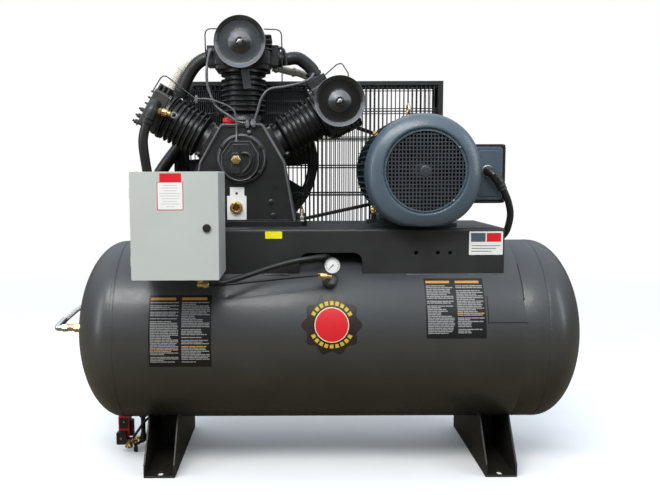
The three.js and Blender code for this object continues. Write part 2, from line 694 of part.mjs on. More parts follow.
// Brass cross on the tank port that feeds the gauge and the pressure line.
function gaugeManifold() {
  const y = (gauge.frontY + gauge.backY) / 2;
  const top = gauge.z - gauge.radius - 10 - GAP;
  const z = top - 13;
  const cross = join(
    barZ(10, top - 26, top, 10).translate(gauge.x, y, 0),
    barY(9, y, -222, 10).translate(gauge.x, 0, z),
    barX(8, -38, 24, 10).translate(gauge.x, y, z),
  );
  return cut(cross, tankForm(2 * GAP));
}

// ---------------------------------------------------------------- tank drain and safety valve
// Drain pipe from the tank's underside to a ball valve and strainer.
function drainValveBody() {
  const { x, z } = drain;
  const line = join(
    barZ(10, z - 8, tank.axisZ - tank.radius + 5, 10).translate(x, 0, 0),
    barX(10, -718, x + 12, 10).translate(0, 0, z),
    barX(15, -690, -668, 8).translate(0, 0, z),
    barZ(12, 10, z + 4, 10).translate(-706, 0, 0),
  );
  return cut(line, tankForm(2 * GAP));
}

function drainLever() {
  const { z } = drain;
  return join(
    barY(4, -19, -15 - GAP, 8).translate(-679, 0, z),
    block(-685, -673, -22, -18, 4, z + 6),
  );
}

function autoDrain() {
  const bottom = drain.z + 10 + GAP;
  return join(
    block(-738, -700, -22, 22, bottom, 133),
    block(-742, -708, -42, -20, 34, 80),
    block(-701, -690, -4, 18, bottom + 6, 112),
  );
}

// Side-outlet safety valve on the high-pressure head, in a frame along its own axis (X).
function safetyValveBody() {
  const inlet = barY(7, 0, banks.left.y - 72 - relief.y - GAP, 10).translate(2, 0, 0);
  const end = relief.length;
  const body = turnedX([[0, -8], [9, -8], [9, 8], [13, 12], [13, 30], [9, 34], [9, end], [3, end],
    [3, end - 14], [0, end - 14]], 10);
  return join(body, inlet);
}

function safetyValveRing() {
  const stem = barX(2, relief.length - 12, relief.length + 9, 8);
  const ring = new THREE.TorusGeometry(9.5, 1.8, 5,
      12).rotateX(RIGHT_ANGLE).translate(relief.length + 17.5, 0, 0);
  return join(stem, ring);
}

// ---------------------------------------------------------------- finishes
const blackPaint = () => finish(0x25282a, 0.38, 0.2);
const castIron = () => finish(0x1b1c1d, 0.5, 0.3);
const bluePaint = () => finish(0x3d5570, 0.38, 0.25);
const greyPaint = () => finish(0xc6cdca, 0.45, 0.05);
const steel = () => finish(0x9a9c9c, 0.35, 0.9);
const brass = () => finish(0xc9a45c, 0.3, 0.9);
const aluminium = () => finish(0xb4b6b8, 0.4, 0.9);
const rubber = () => finish(0x17181a, 0.65, 0);
const plastic = () => finish(0x1c1d1f, 0.5, 0);

// ---------------------------------------------------------------- assembly
function add(group, name, geometry, material) {
  const mesh = new THREE.Mesh(geometry, material);
  mesh.name = name;
  group.add(mesh);
  return mesh;
}

function frameAt(parent, x, y, z) {
  const group = new THREE.Group();
  group.position.set(x, y, z);
  parent.add(group);
  return group;
}

const compressor = new THREE.Group();
compressor.position.set(machineShift.x, machineShift.y, 0);

add(compressor, 'tank_shell', tankShell(), blackPaint());
add(compressor, 'tank_foot_left', tankFoot(-foot.centreX), blackPaint());
add(compressor, 'tank_foot_right', tankFoot(foot.centreX), blackPaint());
add(compressor, 'deck_plate', deckPlate(), blackPaint());

const pumpFrame = frameAt(compressor, crank.x, 0, crank.z);
add(pumpFrame, 'crankcase', crankcase(), castIron());
add(pumpFrame, 'bearing_cover_front', frontBearingCover(), castIron());
add(pumpFrame, 'bearing_cover_rear', rearBearingCover(), castIron());
add(pumpFrame, 'oil_sight_glass', oilSightGlass(), brass()).position.set(-20, 0, -158);
add(pumpFrame, 'oil_fill_cap', oilFillCap(), finish(0xd2232a, 0.4, 0)).position.set(-44, pump.frontY + 22,
    0);
add(pumpFrame, 'crankshaft', crankshaft(), steel());
add(pumpFrame, 'flywheel', flywheel(), castIron());
add(pumpFrame, 'v_belt_front', vBelt(belt.frontY), rubber());
add(pumpFrame, 'v_belt_back', vBelt(belt.backY), rubber());

// Crank pin at the top: each wrist pin stands where the rod length puts it on its own bore axis.
function wristPinHeight(angle) {
  const sideways = crank.throw * Math.sin(angle);
  return crank.throw * Math.cos(angle) + Math.sqrt(rod.length ** 2 - sideways ** 2);
}

for (const [name, bank] of Object.entries(banks)) {
  const bankFrame = frameAt(pumpFrame, 0, bank.y, 0);
  bankFrame.rotation.y = bank.angle;
  const head = { left: highPressureHead, centre: () => lowPressureHead([-1, 1]), right: () =>
      lowPressureHead([-1]) }[name];
  add(bankFrame, `cylinder_${name}`, cylinder(bank), castIron());
  add(bankFrame, `cylinder_head_${name}`, head(), castIron());
  const pinFrame = frameAt(bankFrame, 0, 0, wristPinHeight(bank.angle));
  add(pinFrame, `piston_${name}`, pistonBody(bank), aluminium());
  add(pinFrame, `connecting_rod_${name}`, rodShank(), steel());
  if (name === 'left') continue;
  const filterFrame = frameAt(bankFrame, 0, 0, filter.height);
  filterFrame.rotation.y = -bank.angle;
  add(filterFrame, `filter_body_${name}`, filterBody(), blackPaint());
  add(filterFrame, `filter_cover_${name}`, filterCover(), blackPaint());
}

add(compressor, 'intercooler_pipe_left', intercoolerLeft(), rubber());
add(compressor, 'intercooler_pipe_right', intercoolerRight(), rubber());
add(compressor, 'discharge_hose', dischargeHose(), rubber());
add(compressor, 'aftercooler', aftercooler(), castIron());
add(compressor, 'tank_inlet_hose', tankInletHose(), steel());
add(compressor, 'unloader_line_left', unloaderLineLeft(), plastic());
add(compressor, 'unloader_line_right', unloaderLineRight(), plastic());

const reliefFrame = frameAt(compressor, relief.x, relief.y, relief.z);
reliefFrame.rotation.y = relief.slope;
add(reliefFrame, 'safety_valve_body', safetyValveBody(), brass());
add(reliefFrame, 'safety_valve_ring', safetyValveRing(), steel());

const motorFrame = frameAt(compressor, motor.x, 0, motor.z);
add(motorFrame, 'motor_stator_frame', motorStatorFrame(), bluePaint());
add(motorFrame, 'motor_fan_cover', motorFanCover(), bluePaint());
add(motorFrame, 'motor_end_bell', motorEndBell(), bluePaint());
add(motorFrame, 'motor_base', motorBase(), blackPaint());
add(motorFrame, 'motor_shaft', motorShaft(), steel());
add(motorFrame, 'motor_fan', motorFan(), plastic());
add(motorFrame, 'motor_pulley', motorPulley(), castIron());
add(motorFrame, 'junction_box', junctionBox(), bluePaint());
add(compressor, 'motor_cable', hose([point(514, -168.5, 988), point(514, -176, 988),
    point(514, -183, 988), point(532, -184, 980), point(562, -176, 962), point(588, -162, 905),
  point(594, -150, 840), point(584, -136, 785), point(560, -122, 764), point(535, -112, 764)], 11, 14, 6),
      rubber());

add(compressor, 'belt_guard_casing', beltGuardCasing(), blackPaint());
add(compressor, 'belt_guard_front_grille', beltGuardFrontGrille(), blackPaint());

add(compressor, 'control_box', controlBox(), greyPaint());
add(compressor, 'control_box_door', boxDoor(), greyPaint());
add(compressor, 'door_latch', doorLatch(), plastic()).position.set(latch.x, 0, latch.z);
add(compressor, 'motor_starter', motorStarter(), plastic());
add(compressor, 'control_hose', controlHose(), rubber());

add(compressor, 'pressure_gauge', pressureGauge(), plastic());
add(compressor, 'gauge_needle', gaugeNeedle(), plastic()).position.set(gauge.x, 0, gauge.z);
add(compressor, 'gauge_manifold', gaugeManifold(), brass());

add(compressor, 'drain_valve_body', drainValveBody(), brass());
add(compressor, 'drain_valve_lever', drainLever(), plastic());
add(compressor, 'auto_drain', autoDrain(), finish(0xc81e28, 0.4, 0));

export default compressor;
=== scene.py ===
"""Looks for the horizontal-tank compressor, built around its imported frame.

Lengths in this script are millimetres from the floor below the middle of the tank, as in the CAD
source, and become metres in the row frame when a mesh is made.
"""
import random
from math import acos, asin, atan2, cos, hypot, pi, radians, sin, sqrt

import bpy
import bmesh
from mathutils import Matrix, Vector
from mathutils.geometry import tessellate_polygon


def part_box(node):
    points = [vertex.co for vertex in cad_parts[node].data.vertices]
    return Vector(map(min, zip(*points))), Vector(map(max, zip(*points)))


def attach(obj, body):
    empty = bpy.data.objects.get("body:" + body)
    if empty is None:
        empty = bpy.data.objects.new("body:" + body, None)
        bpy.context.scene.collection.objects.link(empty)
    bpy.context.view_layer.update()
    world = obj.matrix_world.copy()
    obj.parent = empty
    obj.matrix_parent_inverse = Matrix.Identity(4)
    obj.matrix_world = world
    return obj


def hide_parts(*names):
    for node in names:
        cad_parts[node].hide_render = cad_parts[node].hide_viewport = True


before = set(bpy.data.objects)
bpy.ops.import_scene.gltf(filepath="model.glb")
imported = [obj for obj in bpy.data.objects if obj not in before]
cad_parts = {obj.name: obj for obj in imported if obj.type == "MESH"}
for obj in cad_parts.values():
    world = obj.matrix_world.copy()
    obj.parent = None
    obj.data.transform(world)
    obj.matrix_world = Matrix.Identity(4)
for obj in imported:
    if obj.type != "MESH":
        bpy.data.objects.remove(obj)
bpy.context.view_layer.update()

MM = 0.001
deck_low, deck_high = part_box("deck_plate")
TANK_MIDDLE = Vector(((deck_low.x + deck_high.x) / 2, (deck_low.y + deck_high.y) / 2, 0.0))

# Driving dimensions, the same as the CAD source's
TANK_R, TANK_HALF, HEAD, TANK_Z = 305.0, 850.0, 152.0, 446.0
CRANK_X, CRANK_Z = -288.0, 1028.0
MOTOR_X, MOTOR_Z, MOTOR_R = 283.0, 993.0, 176.0
DECK_Z = 807.0
BANKS = {"left": (-pi / 3, 14.0), "centre": (0.0, 40.0), "right": (pi / 3, 66.0)}
FILTER_Z = 382.0
BELTS_Y = (262.0, 284.0)
DRAIN_X, DRAIN_Z = -655.0, 38.0
FOOT_X = 555.0
SKIRT_Y = 215.0
HEAD_BASE = 306.3
DECK_SEAT = DECK_Z + 0.3
CASE_FLOOR = DECK_SEAT - CRANK_Z
BOX = (-585.0, -331.0, 676.0, 989.0)
BOX_BACK = -245.0
DOOR_FRONT = -452.0


# ------------------------------------------------------------------ shape building
class Shape:
    """Points in millimetres, faces, a material number and corner coordinates for each face."""

    def __init__(self):
        self.points, self.faces, self.slots, self.uvs = [], [], [], []

    def add(self, piece, place=None, slot=0):
        points, faces = piece[0], piece[1]
        start = len(self.points)
        self.points += [place @ Vector(p) if place else Vector(p) for p in points]
        self.faces += [[start + i for i in face] for face in faces]
        self.slots += [slot] * len(faces)
        self.uvs += piece[2] if len(piece) > 2 else [[(0.0, 0.0)] * len(face) for face in faces]
        return self


def make(name, shape, materials, body="machine", bevel=0.0, segments=2, angle=34, replaces=None):
    """Makes a piece that rides on body. materials is one finish, or one for each slot number of the shape."""
    materials = materials if isinstance(materials, list) else [materials]
    data = bpy.data.meshes.new(name)
    data.from_pydata([tuple(p * MM + TANK_MIDDLE) for p in shape.points], [], shape.faces)
    for material in materials:
        data.materials.append(material)
    data.polygons.foreach_set("material_index", shape.slots)
    layer = data.uv_layers.new(name="UVMap")
    flat = [value for face in shape.uvs for corner in face for value in corner]
    layer.data.foreach_set("uv", flat)
    mesh = bmesh.new()
    mesh.from_mesh(data)
    bmesh.ops.recalc_face_normals(mesh, faces=mesh.faces)
    mesh.to_mesh(data)
    mesh.free()
    data.shade_smooth()
    data.set_sharp_from_angle(angle=radians(angle))
    piece = bpy.data.objects.new(name, data)
    bpy.context.scene.collection.objects.link(piece)
    if bevel:
        edge = piece.modifiers.new("edge", "BEVEL")
        edge.width = bevel * MM
        edge.segments = segments
        edge.limit_method = "ANGLE"
        edge.angle_limit = radians(angle)
        edge.harden_normals = True
    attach(piece, body)
    if replaces:
        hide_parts(replaces)


def at(x, y, z):
    return Matrix.Translation((x, y, z))


def spin(angle, axis="Y"):
    return Matrix.Rotation(angle, 4, axis)


FRONT, BACK, LEFT = (0, -1, 0), (0, 1, 0), (-1, 0, 0)
UP, DOWN = (0, 0, 1), (0, 0, -1)
PUMP = at(CRANK_X, 0, CRANK_Z)
MOTOR = at(MOTOR_X, 0, MOTOR_Z)
COVER = MOTOR @ at(7, 0, -4)
ALONG_X = spin(pi / 2)
ALONG_Y = spin(-pi / 2, "X")
FACING_FRONT = spin(pi / 2, "X")


def towards(centre, direction):
    """A frame at centre whose Z looks along direction."""
    turn = Vector(direction).to_track_quat("Z", "Y").to_matrix().to_4x4()
    return Matrix.Translation(centre) @ turn


def bank(name):
    """The frame of one cylinder: Z runs out along its bore from the crank axis."""
    angle, y = BANKS[name]
    return at(CRANK_X, y, CRANK_Z) @ spin(angle)


def ring(radius, count, centre=(0.0, 0.0)):
    points = [polar(radius, angle) for angle in turns(count)]
    return [(centre[0] + x, centre[1] + y) for x, y in points]


def polar(radius, angle):
    return radius * cos(angle), radius * sin(angle)


def turns(count):
    """Angles evenly spread round a circle."""
    return [2 * pi * k / count for k in range(count)]


def lathe(profile, count=48, closed=False):
    """Turns [radius, height] points about Z. A radius of 0 makes a closed tip."""
    points, faces, rings = [], [], []
    for radius, height in profile:
        first = len(points)
        if radius < 1e-6:
            rings.append([first])
            points.append((0.0, 0.0, height))
        else:
            rings.append(list(range(first, first + count)))
            points += [(x, y, height) for x, y in ring(radius, count)]
    pairs = list(zip(rings, rings[1:]))
    if closed:
        pairs.append((rings[-1], rings[0]))
    for a, b in pairs:
        if len(a) == 1 and len(b) == 1:
            continue
        for i in range(count):
            j = (i + 1) % count
            if len(a) == 1:
                faces.append([a[0], b[i], b[j]])
            elif len(b) == 1:
                faces.append([a[i], b[0], a[j]])
            else:
                faces.append([a[i], b[i], b[j], a[j]])
    return points, faces


def rod(radius, a, b, count=24, chamfer=0.0):
    c = chamfer
    if not c:
        return lathe([(0, a), (radius, a), (radius, b), (0, b)], count)
    return lathe([(0, a), (radius - c, a), (radius, a + c), (radius, b - c), (radius - c, b), (0, b)],
        count)


def box(x0, x1, y0, y1, z0, z1):
    points = [(x, y, z) for x in (x0, x1) for y in (y0, y1) for z in (z0, z1)]
    faces = [[0, 1, 3, 2], [4, 6, 7, 5], [0, 4, 5, 1], [2, 3, 7, 6], [0, 2, 6, 4], [1, 5, 7, 3]]
    return points, faces


def plate(outline, a, b, holes=(), plane="xz"):
    """A flat outline with holes, given thickness from a to b across its plane."""
    def lift(p, h):
        return {"xz": (p[0], h, p[1]), "yz": (h, p[0], p[1]), "xy": (p[0], p[1], h)}[plane]
    loops = [list(outline)] + [list(hole) for hole in holes]
    flat = [p for loop in loops for p in loop]
    count = len(flat)
    if holes:
        caps = [list(t) for t in tessellate_polygon([[Vector((p[0], p[1], 0)) for p in loop]
            for loop in loops])]
    else:
        caps = [list(range(count))]
    faces = caps + [[i + count for i in reversed(cap)] for cap in caps]
    start = 0
    for loop in loops:
        size = len(loop)
        for i in range(size):
            j = (i + 1) % size
            faces.append([start + i, start + j, start + j + count, start + i + count])
        start += size
    return [lift(p, a) for p in flat] + [lift(p, b) for p in flat], faces


def slab(sides, a, b, holes=(), plane="xz"):
    """A plate with rounded corners: sides is low and high across, low and high up, radius and steps."""
    return plate(rounded_rectangle(*sides), a, b, holes, plane)


def rounded_rectangle(x0, x1, z0, z1, radius, steps=4):
    corners = [(x1 - radius, z1 - radius, 0), (x0 + radius, z1 - radius, 1), (x0 + radius, z0 + radius, 2),
        (x1 - radius, z0 + radius, 3)]
    out = []
    for cx, cz, quarter in corners:
        for i in range(steps + 1):
            angle = (quarter + i / steps) * pi / 2
            out.append((cx + radius * cos(angle), cz + radius * sin(angle)))
    return out


def curve(points, steps=6):
    """A smooth curve through the points."""
    pts = [Vector(p) for p in points]
    ends = [pts[0] * 2 - pts[1], *pts, pts[-1] * 2 - pts[-2]]
    out = []
    for i in range(len(pts) - 1):
        p0, p1, p2, p3 = ends[i:i + 4]
        for k in range(steps):
            t = k / steps
            bend = (2 * p0 - 5 * p1 + 4 * p2 - p3) * t * t + (3 * p1 - p0 - 3 * p2 + p3) * t ** 3
            out.append(0.5 * (2 * p1 + (p2 - p0) * t + bend))
    out.append(pts[-1])
    return out


def bends(points, radius, steps=5):
    """Straight runs between the points, with each corner rounded."""
    pts = [Vector(p) for p in points]
    out = [pts[0]]
    for before, corner, after in zip(pts, pts[1:], pts[2:]):
        reach = min(radius, (corner - before).length * 0.49, (after - corner).length * 0.49)
        a = corner + (before - corner).normalized() * reach
        b = corner + (after - corner).normalized() * reach
        for i in range(steps + 1):
            t = i / steps
            out.append(a * (1 - t) ** 2 + corner * 2 * t * (1 - t) + b * t * t)
    out.append(pts[-1])
    return out


def tube(path, radius, count=12):
    """A round tube along a path. radius is a number, or one number for each point."""
    path = [Vector(p) for p in path]
    radii = radius if isinstance(radius, list) else [radius] * len(path)
    points, faces, uvs = [], [], []
    tangents = []
    for i in range(len(path)):
        tangents.append((path[min(i + 1, len(path) - 1)] - path[max(i - 1, 0)]).normalized())
    normal = tangents[0].orthogonal().normalized()
    travelled = [0.0]
    for a, b in zip(path, path[1:]):
        travelled.append(travelled[-1] + (b - a).length)
    for i, centre in enumerate(path):
        normal = (normal - tangents[i] * normal.dot(tangents[i])).normalized()
        side = tangents[i].cross(normal)
        for x, y in ring(radii[i], count):
            points.append(centre + normal * x + side * y)
    for i in range(len(path) - 1):
        for k in range(count):
            j = (k + 1) % count
            a = i * count
            faces.append([a + k, a + j, a + count + j, a + count + k])
            u0, u1 = k / count, (k + 1) / count
            uvs.append([(u0, travelled[i]), (u1, travelled[i]), (u1, travelled[i + 1]),
                (u0, travelled[i + 1])])
    last = len(points) - count
    faces += [list(range(count))[::-1], [last + k for k in range(count)]]
    uvs += [[(0.0, 0.0)] * count] * 2
    return points, faces, uvs


def hoop(centre, big, small, count, sides):
    """A round ring that stands in the XZ plane."""
    points, faces = [], []
    for a in turns(count):
        out = Vector((cos(a), 0, sin(a)))
        points += [Vector(centre) + out * (big + x) + Vector((0, y, 0)) for x, y in ring(small, sides)]
    for i in range(count):
        for k in range(sides):
            a, b, j = i * sides, ((i + 1) % count) * sides, (k + 1) % sides
            faces.append([a + k, a + j, b + j, b + k])
    return points, faces


def hexagon(width, a, b, chamfer=1.0):
    """A hexagonal nut or head, width across its flats."""
    radius = width / sqrt(3)
    return lathe([(0, a), (radius, a), (radius, b - chamfer), (radius - 1.6 * chamfer, b), (0, b)], 6)


def bolt(shape, centre, direction, width=13.0, height=6.0, washer=True, stud=0.0, slot=0, stud_slot=None):
    """A hex head with its washer, standing on centre and looking along direction."""
    place = towards(centre, direction)
    base = 0.0
    if washer:
        shape.add(rod(width * 0.78, -0.6, 1.8, 24, 0.4), place, slot)
        base = 1.6
    shape.add(hexagon(width, base - 0.4, base + height), place, slot)
    if stud:
        threads = [(0, base + height - 1)]
        radius = width * 0.3
        pitches = max(2, int(stud / 1.6))
        for i in range(pitches):
            z = base + height - 1 + i * 1.6
            threads += [(radius, z), (radius * 0.88, z + 0.8)]
        threads.append((0, base + height - 1 + pitches * 1.6))
        shape.add(lathe(threads, 16), place, slot if stud_slot is None else stud_slot)
    return shape


def feed(tree, socket, value):
    """Links another node's output to the socket, or sets the socket to a plain value."""
    if isinstance(value, bpy.types.NodeSocket):
        tree.links.new(value, socket)
    else:
        socket.default_value = value


def node(tree, kind, inputs=None, **settings):
    made = tree.nodes.new(kind)
    for key, value in settings.items():
        setattr(made, key, value)
    for key, value in (inputs or {}).items():
        feed(tree, made.inputs[key], value)
    return made


def rgba(color):
    """An opaque colour from three numbers, or an opaque grey from one."""
    return (*color, 1.0) if isinstance(color, tuple) else (color, color, color, 1.0)


def ramp(tree, value, low, high, out_low=0.0, out_high=1.0):
    inputs = {"Value": value, "From Min": low, "From Max": high, "To Min": out_low, "To Max": out_high}
    return node(tree, "ShaderNodeMapRange", inputs).outputs["Result"]


def mixed(tree, factor, a, b):
    return node(tree, "ShaderNodeMix", {0: factor, 6: a, 7: b}, data_type="RGBA").outputs[2]


def noise(tree, where, scale, detail=3.0):
    inputs = {"Vector": where, "Scale": scale, "Detail": detail, "Roughness": 0.55}
    return node(tree, "ShaderNodeTexNoise", inputs).outputs["Fac"]


def reckoned(tree, operation, a, b=0.5):
    return node(tree, "ShaderNodeMath", {0: a, 1: b}, operation=operation).outputs[0]


def raised(tree, height, distance, under=None):
    """A bump whose full height is distance in metres, laid over another one."""
    inputs = {"Strength": 1.0, "Distance": distance, "Height": height}
    if under:
        inputs["Normal"] = under
    return node(tree, "ShaderNodeBump", inputs).outputs["Normal"]


def upward(tree, normal):
    return node(tree, "ShaderNodeSeparateXYZ", {"Vector": normal}).outputs["Z"]


def new_material(name):
    material = bpy.data.materials.new(name)
    material.use_nodes = True
    return material, material.node_tree, material.node_tree.nodes["Principled BSDF"]


def position(tree):
    return node(tree, "ShaderNodeTexCoord").outputs["Object"]


# Lighter edges: partly rubbed wear, partly a painted highlight along them.
def rubbed_and_highlit_edges(tree, shade, normal, patches, color, share):
    rounded = node(tree, "ShaderNodeBevel", {"Radius": 0.0022}, samples=4).outputs["Normal"]
    dot = node(tree, "ShaderNodeVectorMath", {0: rounded, 1: normal}, operation="DOT_PRODUCT")
    edge = ramp(tree, dot.outputs["Value"], 0.985, 0.86)
    broken = reckoned(tree, "MULTIPLY", edge, ramp(tree, patches, 0.4, 0.6))
    return mixed(tree, reckoned(tree, "MULTIPLY", broken, share), shade, rgba(color))


def settled_dust(tree, shade, normal, patches, share):
    settled = reckoned(tree, "MULTIPLY", ramp(tree, upward(tree, normal), 0.55, 1.0),
        ramp(tree, patches, 0.3, 0.8))
    return mixed(tree, reckoned(tree, "MULTIPLY", settled, share), shade, rgba((0.42, 0.41, 0.39)))


def finish(name, color, roughness, metallic=0.0, coat=0.0, specular=0.5, grain=(450, 0.00012),
        fine=None, mottle=0.12, edge_wear_and_highlight=None, dust=0.0, stretch=None, pits=0.0, painted_top_light=None,
        fade=(-0.02, 0.12)):
    """Uneven colour and roughness over fine relief.

    grain and fine are each a noise scale and a height in metres. The edge colour and share lighten the edges:
    partly rubbed wear, partly a painted highlight. dust is the share of settled dust, and the top tint is a
    lighter colour painted on faces that look up, a painted light from above, which comes in over fade.
    """
    material, tree, surface = new_material(name)
    where = position(tree)
    if stretch:
        where = node(tree, "ShaderNodeMapping", {"Vector": where, "Scale": stretch}).outputs["Vector"]
    cloud = noise(tree, where, 7.0)
    patches = noise(tree, where, 60.0, 4.0)
    darker = rgba(tuple(c * (1 - mottle) for c in color))
    lighter = rgba(tuple(min(1.0, c * (1 + mottle) + 0.004) for c in color))
    shade = mixed(tree, ramp(tree, cloud, 0.35, 0.65), darker, lighter)
    shade = mixed(tree, ramp(tree, patches, 0.3, 0.75, 0.0, 0.35), shade, darker)
    normal = node(tree, "ShaderNodeNewGeometry").outputs["Normal"]
    # Edges go lighter, partly rubbed wear and partly a painted highlight.
    if edge_wear_and_highlight:
        shade = rubbed_and_highlit_edges(tree, shade, normal, patches, *edge_wear_and_highlight)
    if dust:
        shade = settled_dust(tree, shade, normal, patches, dust)
    # Faces that look up are mixed towards a lighter colour: painted light from above.
    if painted_top_light:
        shade = mixed(tree, ramp(tree, upward(tree, normal), *fade), shade, rgba(painted_top_light))
    bump = raised(tree, noise(tree, where, grain[0]), grain[1])
    if fine:
        bump = raised(tree, noise(tree, where, fine[0], 2.0), fine[1], bump)
    if pits:
        cells = node(tree, "ShaderNodeTexVoronoi", {"Vector": where, "Scale": 900.0}).outputs["Distance"]
        bump = raised(tree, ramp(tree, cells, 0.0, 0.35), pits, bump)
    rough = ramp(tree, patches, 0.25, 0.75, max(0.02, roughness - 0.06), min(1.0, roughness + 0.08))
    sockets = {"Base Color": shade, "Roughness": rough, "Metallic": metallic,
        "Specular IOR Level": specular, "Coat Weight": coat, "Coat Roughness": max(0.05, roughness * 0.4),
        "Normal": bump}
    for key, value in sockets.items():
        feed(tree, surface.inputs[key], value)
    return material


def ink(name, color, roughness=0.45, mottle=0.06, grain=(300, 0.00002), specular=0.3):
    """A thin printed or glued layer with almost no relief."""
    return finish(name, color, roughness, specular=specular, grain=grain, mottle=mottle)


def braid_finish(name, dark, light, strands, pitch):
    """Woven wire, from the tube's own coordinates: across 0 to 1 around, along in millimetres."""
    material = finish(name, dark, 0.42, metallic=0.6)
    tree = material.node_tree
    surface = tree.nodes["Principled BSDF"]
    uv = node(tree, "ShaderNodeSeparateXYZ", {"Vector": node(tree, "ShaderNodeUVMap").outputs["UV"]})
    around = reckoned(tree, "MULTIPLY", uv.outputs["X"], strands * 2 * pi)
    along = reckoned(tree, "MULTIPLY", uv.outputs["Y"], 2 * pi / pitch)
    waves = [reckoned(tree, "SINE", reckoned(tree, way, around, along)) for way in ("ADD", "SUBTRACT")]
    height = ramp(tree, reckoned(tree, "MAXIMUM", *waves), -0.2, 1.0)
    feed(tree, surface.inputs["Normal"], raised(tree, height, 0.0008))
    feed(tree, surface.inputs["Base Color"], mixed(tree, height, rgba(dark), rgba(light)))
    return material


def glass_finish(name, color, roughness, transmission, alpha=1.0):
    material, tree, surface = new_material(name)
    smear = noise(tree, position(tree), 90.0, 4.0)
    sockets = {"Base Color": rgba(color), "Transmission Weight": transmission, "IOR": 1.46, "Alpha": alpha,
        "Roughness": ramp(tree, smear, 0.4, 0.8, roughness, roughness + 0.08)}
    for key, value in sockets.items():
        feed(tree, surface.inputs[key], value)
    return material


# The tank's black paint, painted lighter on faces that look up: painted light from above.
BLACK = finish("satin_black_paint_with_painted_top_light", (0.0345, 0.0315, 0.0250), 0.37, coat=0.16,
    grain=(260, 0.0003), fine=(1500, 0.00005), edge_wear_and_highlight=(0.08, 0.25), dust=0.03, painted_top_light=(0.0400, 0.0428, 0.0450),
    fade=(-0.30, 0.35))
DECK_BLACK = finish("deck_black_paint", (0.0210, 0.0215, 0.0220), 0.40, specular=0.4,
    grain=(300, 0.0003), fine=(1500, 0.00005), edge_wear_and_highlight=(0.12, 0.4), dust=0.01)
FOOT_BLACK = finish("foot_black_paint", (0.0165, 0.0148, 0.0115), 0.42, specular=0.35,
    grain=(300, 0.0003), fine=(1500, 0.00005), edge_wear_and_highlight=(0.16, 0.6))
CAST = finish("painted_casting", (0.0058, 0.006, 0.0063), 0.33, coat=0.12,
    grain=(520, 0.0006), fine=(2200, 0.0001), mottle=0.2, edge_wear_and_highlight=(0.10, 0.5), dust=0.015, pits=0.00005)
SMOOTH_CAST = finish("painted_machined_casting", (0.013, 0.0137, 0.0145), 0.30, coat=0.2,
    grain=(380, 0.0002), mottle=0.15, edge_wear_and_highlight=(0.12, 0.5), dust=0.03)
HEAD_CAST = finish("painted_head_casting", (0.042, 0.039, 0.034), 0.34, coat=0.15,
    grain=(380, 0.0003), mottle=0.25, edge_wear_and_highlight=((0.14, 0.14, 0.13), 0.5), dust=0.03)
# Lighter grey: the real colour of tabs and fittings, and a painted highlight on the casting rims.
GREY_METAL_AND_EDGE_HIGHLIGHT = finish("grey_metal_and_painted_edge_highlight", (0.115, 0.120, 0.124), 0.34, coat=0.2,
    grain=(600, 0.0003), mottle=0.2)
FIN_EDGE = finish("lit_fin_edge", (0.055, 0.057, 0.060), 0.32, coat=0.3, grain=(600, 0.0003), mottle=0.3)
GLOSS = finish("gloss_black_enamel", (0.009, 0.0086, 0.0078), 0.22, specular=0.22,
    grain=(120, 0.00005), fine=(900, 0.00001), mottle=0.1, dust=0.02)
GLOSS_GREY = finish("gloss_slate_enamel", (0.037, 0.043, 0.047), 0.26, specular=0.4,
    coat=0.1, grain=(120, 0.00005), fine=(900, 0.00001), mottle=0.08, dust=0.02)
# Lid rim and dome: faces that look up are painted much lighter, a painted reflection of the bright sky.
LID_RIM_PAINTED_REFLECTION = finish("lid_rim_enamel_with_painted_reflection", (0.014, 0.014, 0.0135), 0.32, coat=0.15, grain=(120, 0.00005),
    mottle=0.1, painted_top_light=(0.125, 0.137, 0.150))
SHEET_GREY = finish("perforated_sheet", (0.036, 0.041, 0.050), 0.38, coat=0.1, grain=(420, 0.0001),
    mottle=0.15)
BLUE = finish("slate_blue_paint", (0.064, 0.094, 0.124), 0.36, coat=0.2, grain=(300, 0.00008),
    fine=(1400, 0.00002), mottle=0.08, edge_wear_and_highlight=((0.15, 0.18, 0.21), 0.25), dust=0.03)
DARK_BLUE = finish("slate_blue_shaded", (0.045, 0.060, 0.076), 0.34, coat=0.2,
    grain=(420, 0.00022), mottle=0.14, edge_wear_and_highlight=((0.10, 0.12, 0.14), 0.4))
GREY = finish("light_grey_powder_coat", (0.455, 0.485, 0.465), 0.45, specular=0.35,
    grain=(900, 0.00012), fine=(2600, 0.00004), mottle=0.025, edge_wear_and_highlight=((0.60, 0.63, 0.62), 0.3), dust=0.03)
STEEL = finish("zinc_plated_steel", (0.60, 0.60, 0.59), 0.28, metallic=1.0,
    grain=(700, 0.00008), edge_wear_and_highlight=((0.78, 0.78, 0.77), 0.4))
MACHINED = finish("turned_steel", (0.50, 0.50, 0.50), 0.26, metallic=1.0, grain=(1800, 0.00004), mottle=0.1,
    stretch=(1.0, 30.0, 1.0))
BRASS = finish("brass", (0.74, 0.52, 0.22), 0.24, metallic=1.0, grain=(900, 0.00006), mottle=0.16,
    edge_wear_and_highlight=((0.92, 0.74, 0.42), 0.4))
YELLOW_ZINC = finish("yellow_zinc", (0.66, 0.55, 0.34), 0.34, metallic=1.0, grain=(900, 0.00008),
    mottle=0.2)
ALUMINIUM = finish("cast_aluminium", (0.62, 0.63, 0.64), 0.36, metallic=1.0,
    grain=(900, 0.00012), mottle=0.1)
RUBBER = finish("black_rubber", (0.009, 0.0092, 0.0095), 0.46, specular=0.4,
    grain=(900, 0.00012), mottle=0.2, dust=0.05)
SLEEVE = finish("rubber_sleeve", (0.0095, 0.0097, 0.010), 0.40, coat=0.05,
    grain=(300, 0.0003), mottle=0.2, dust=0.04)
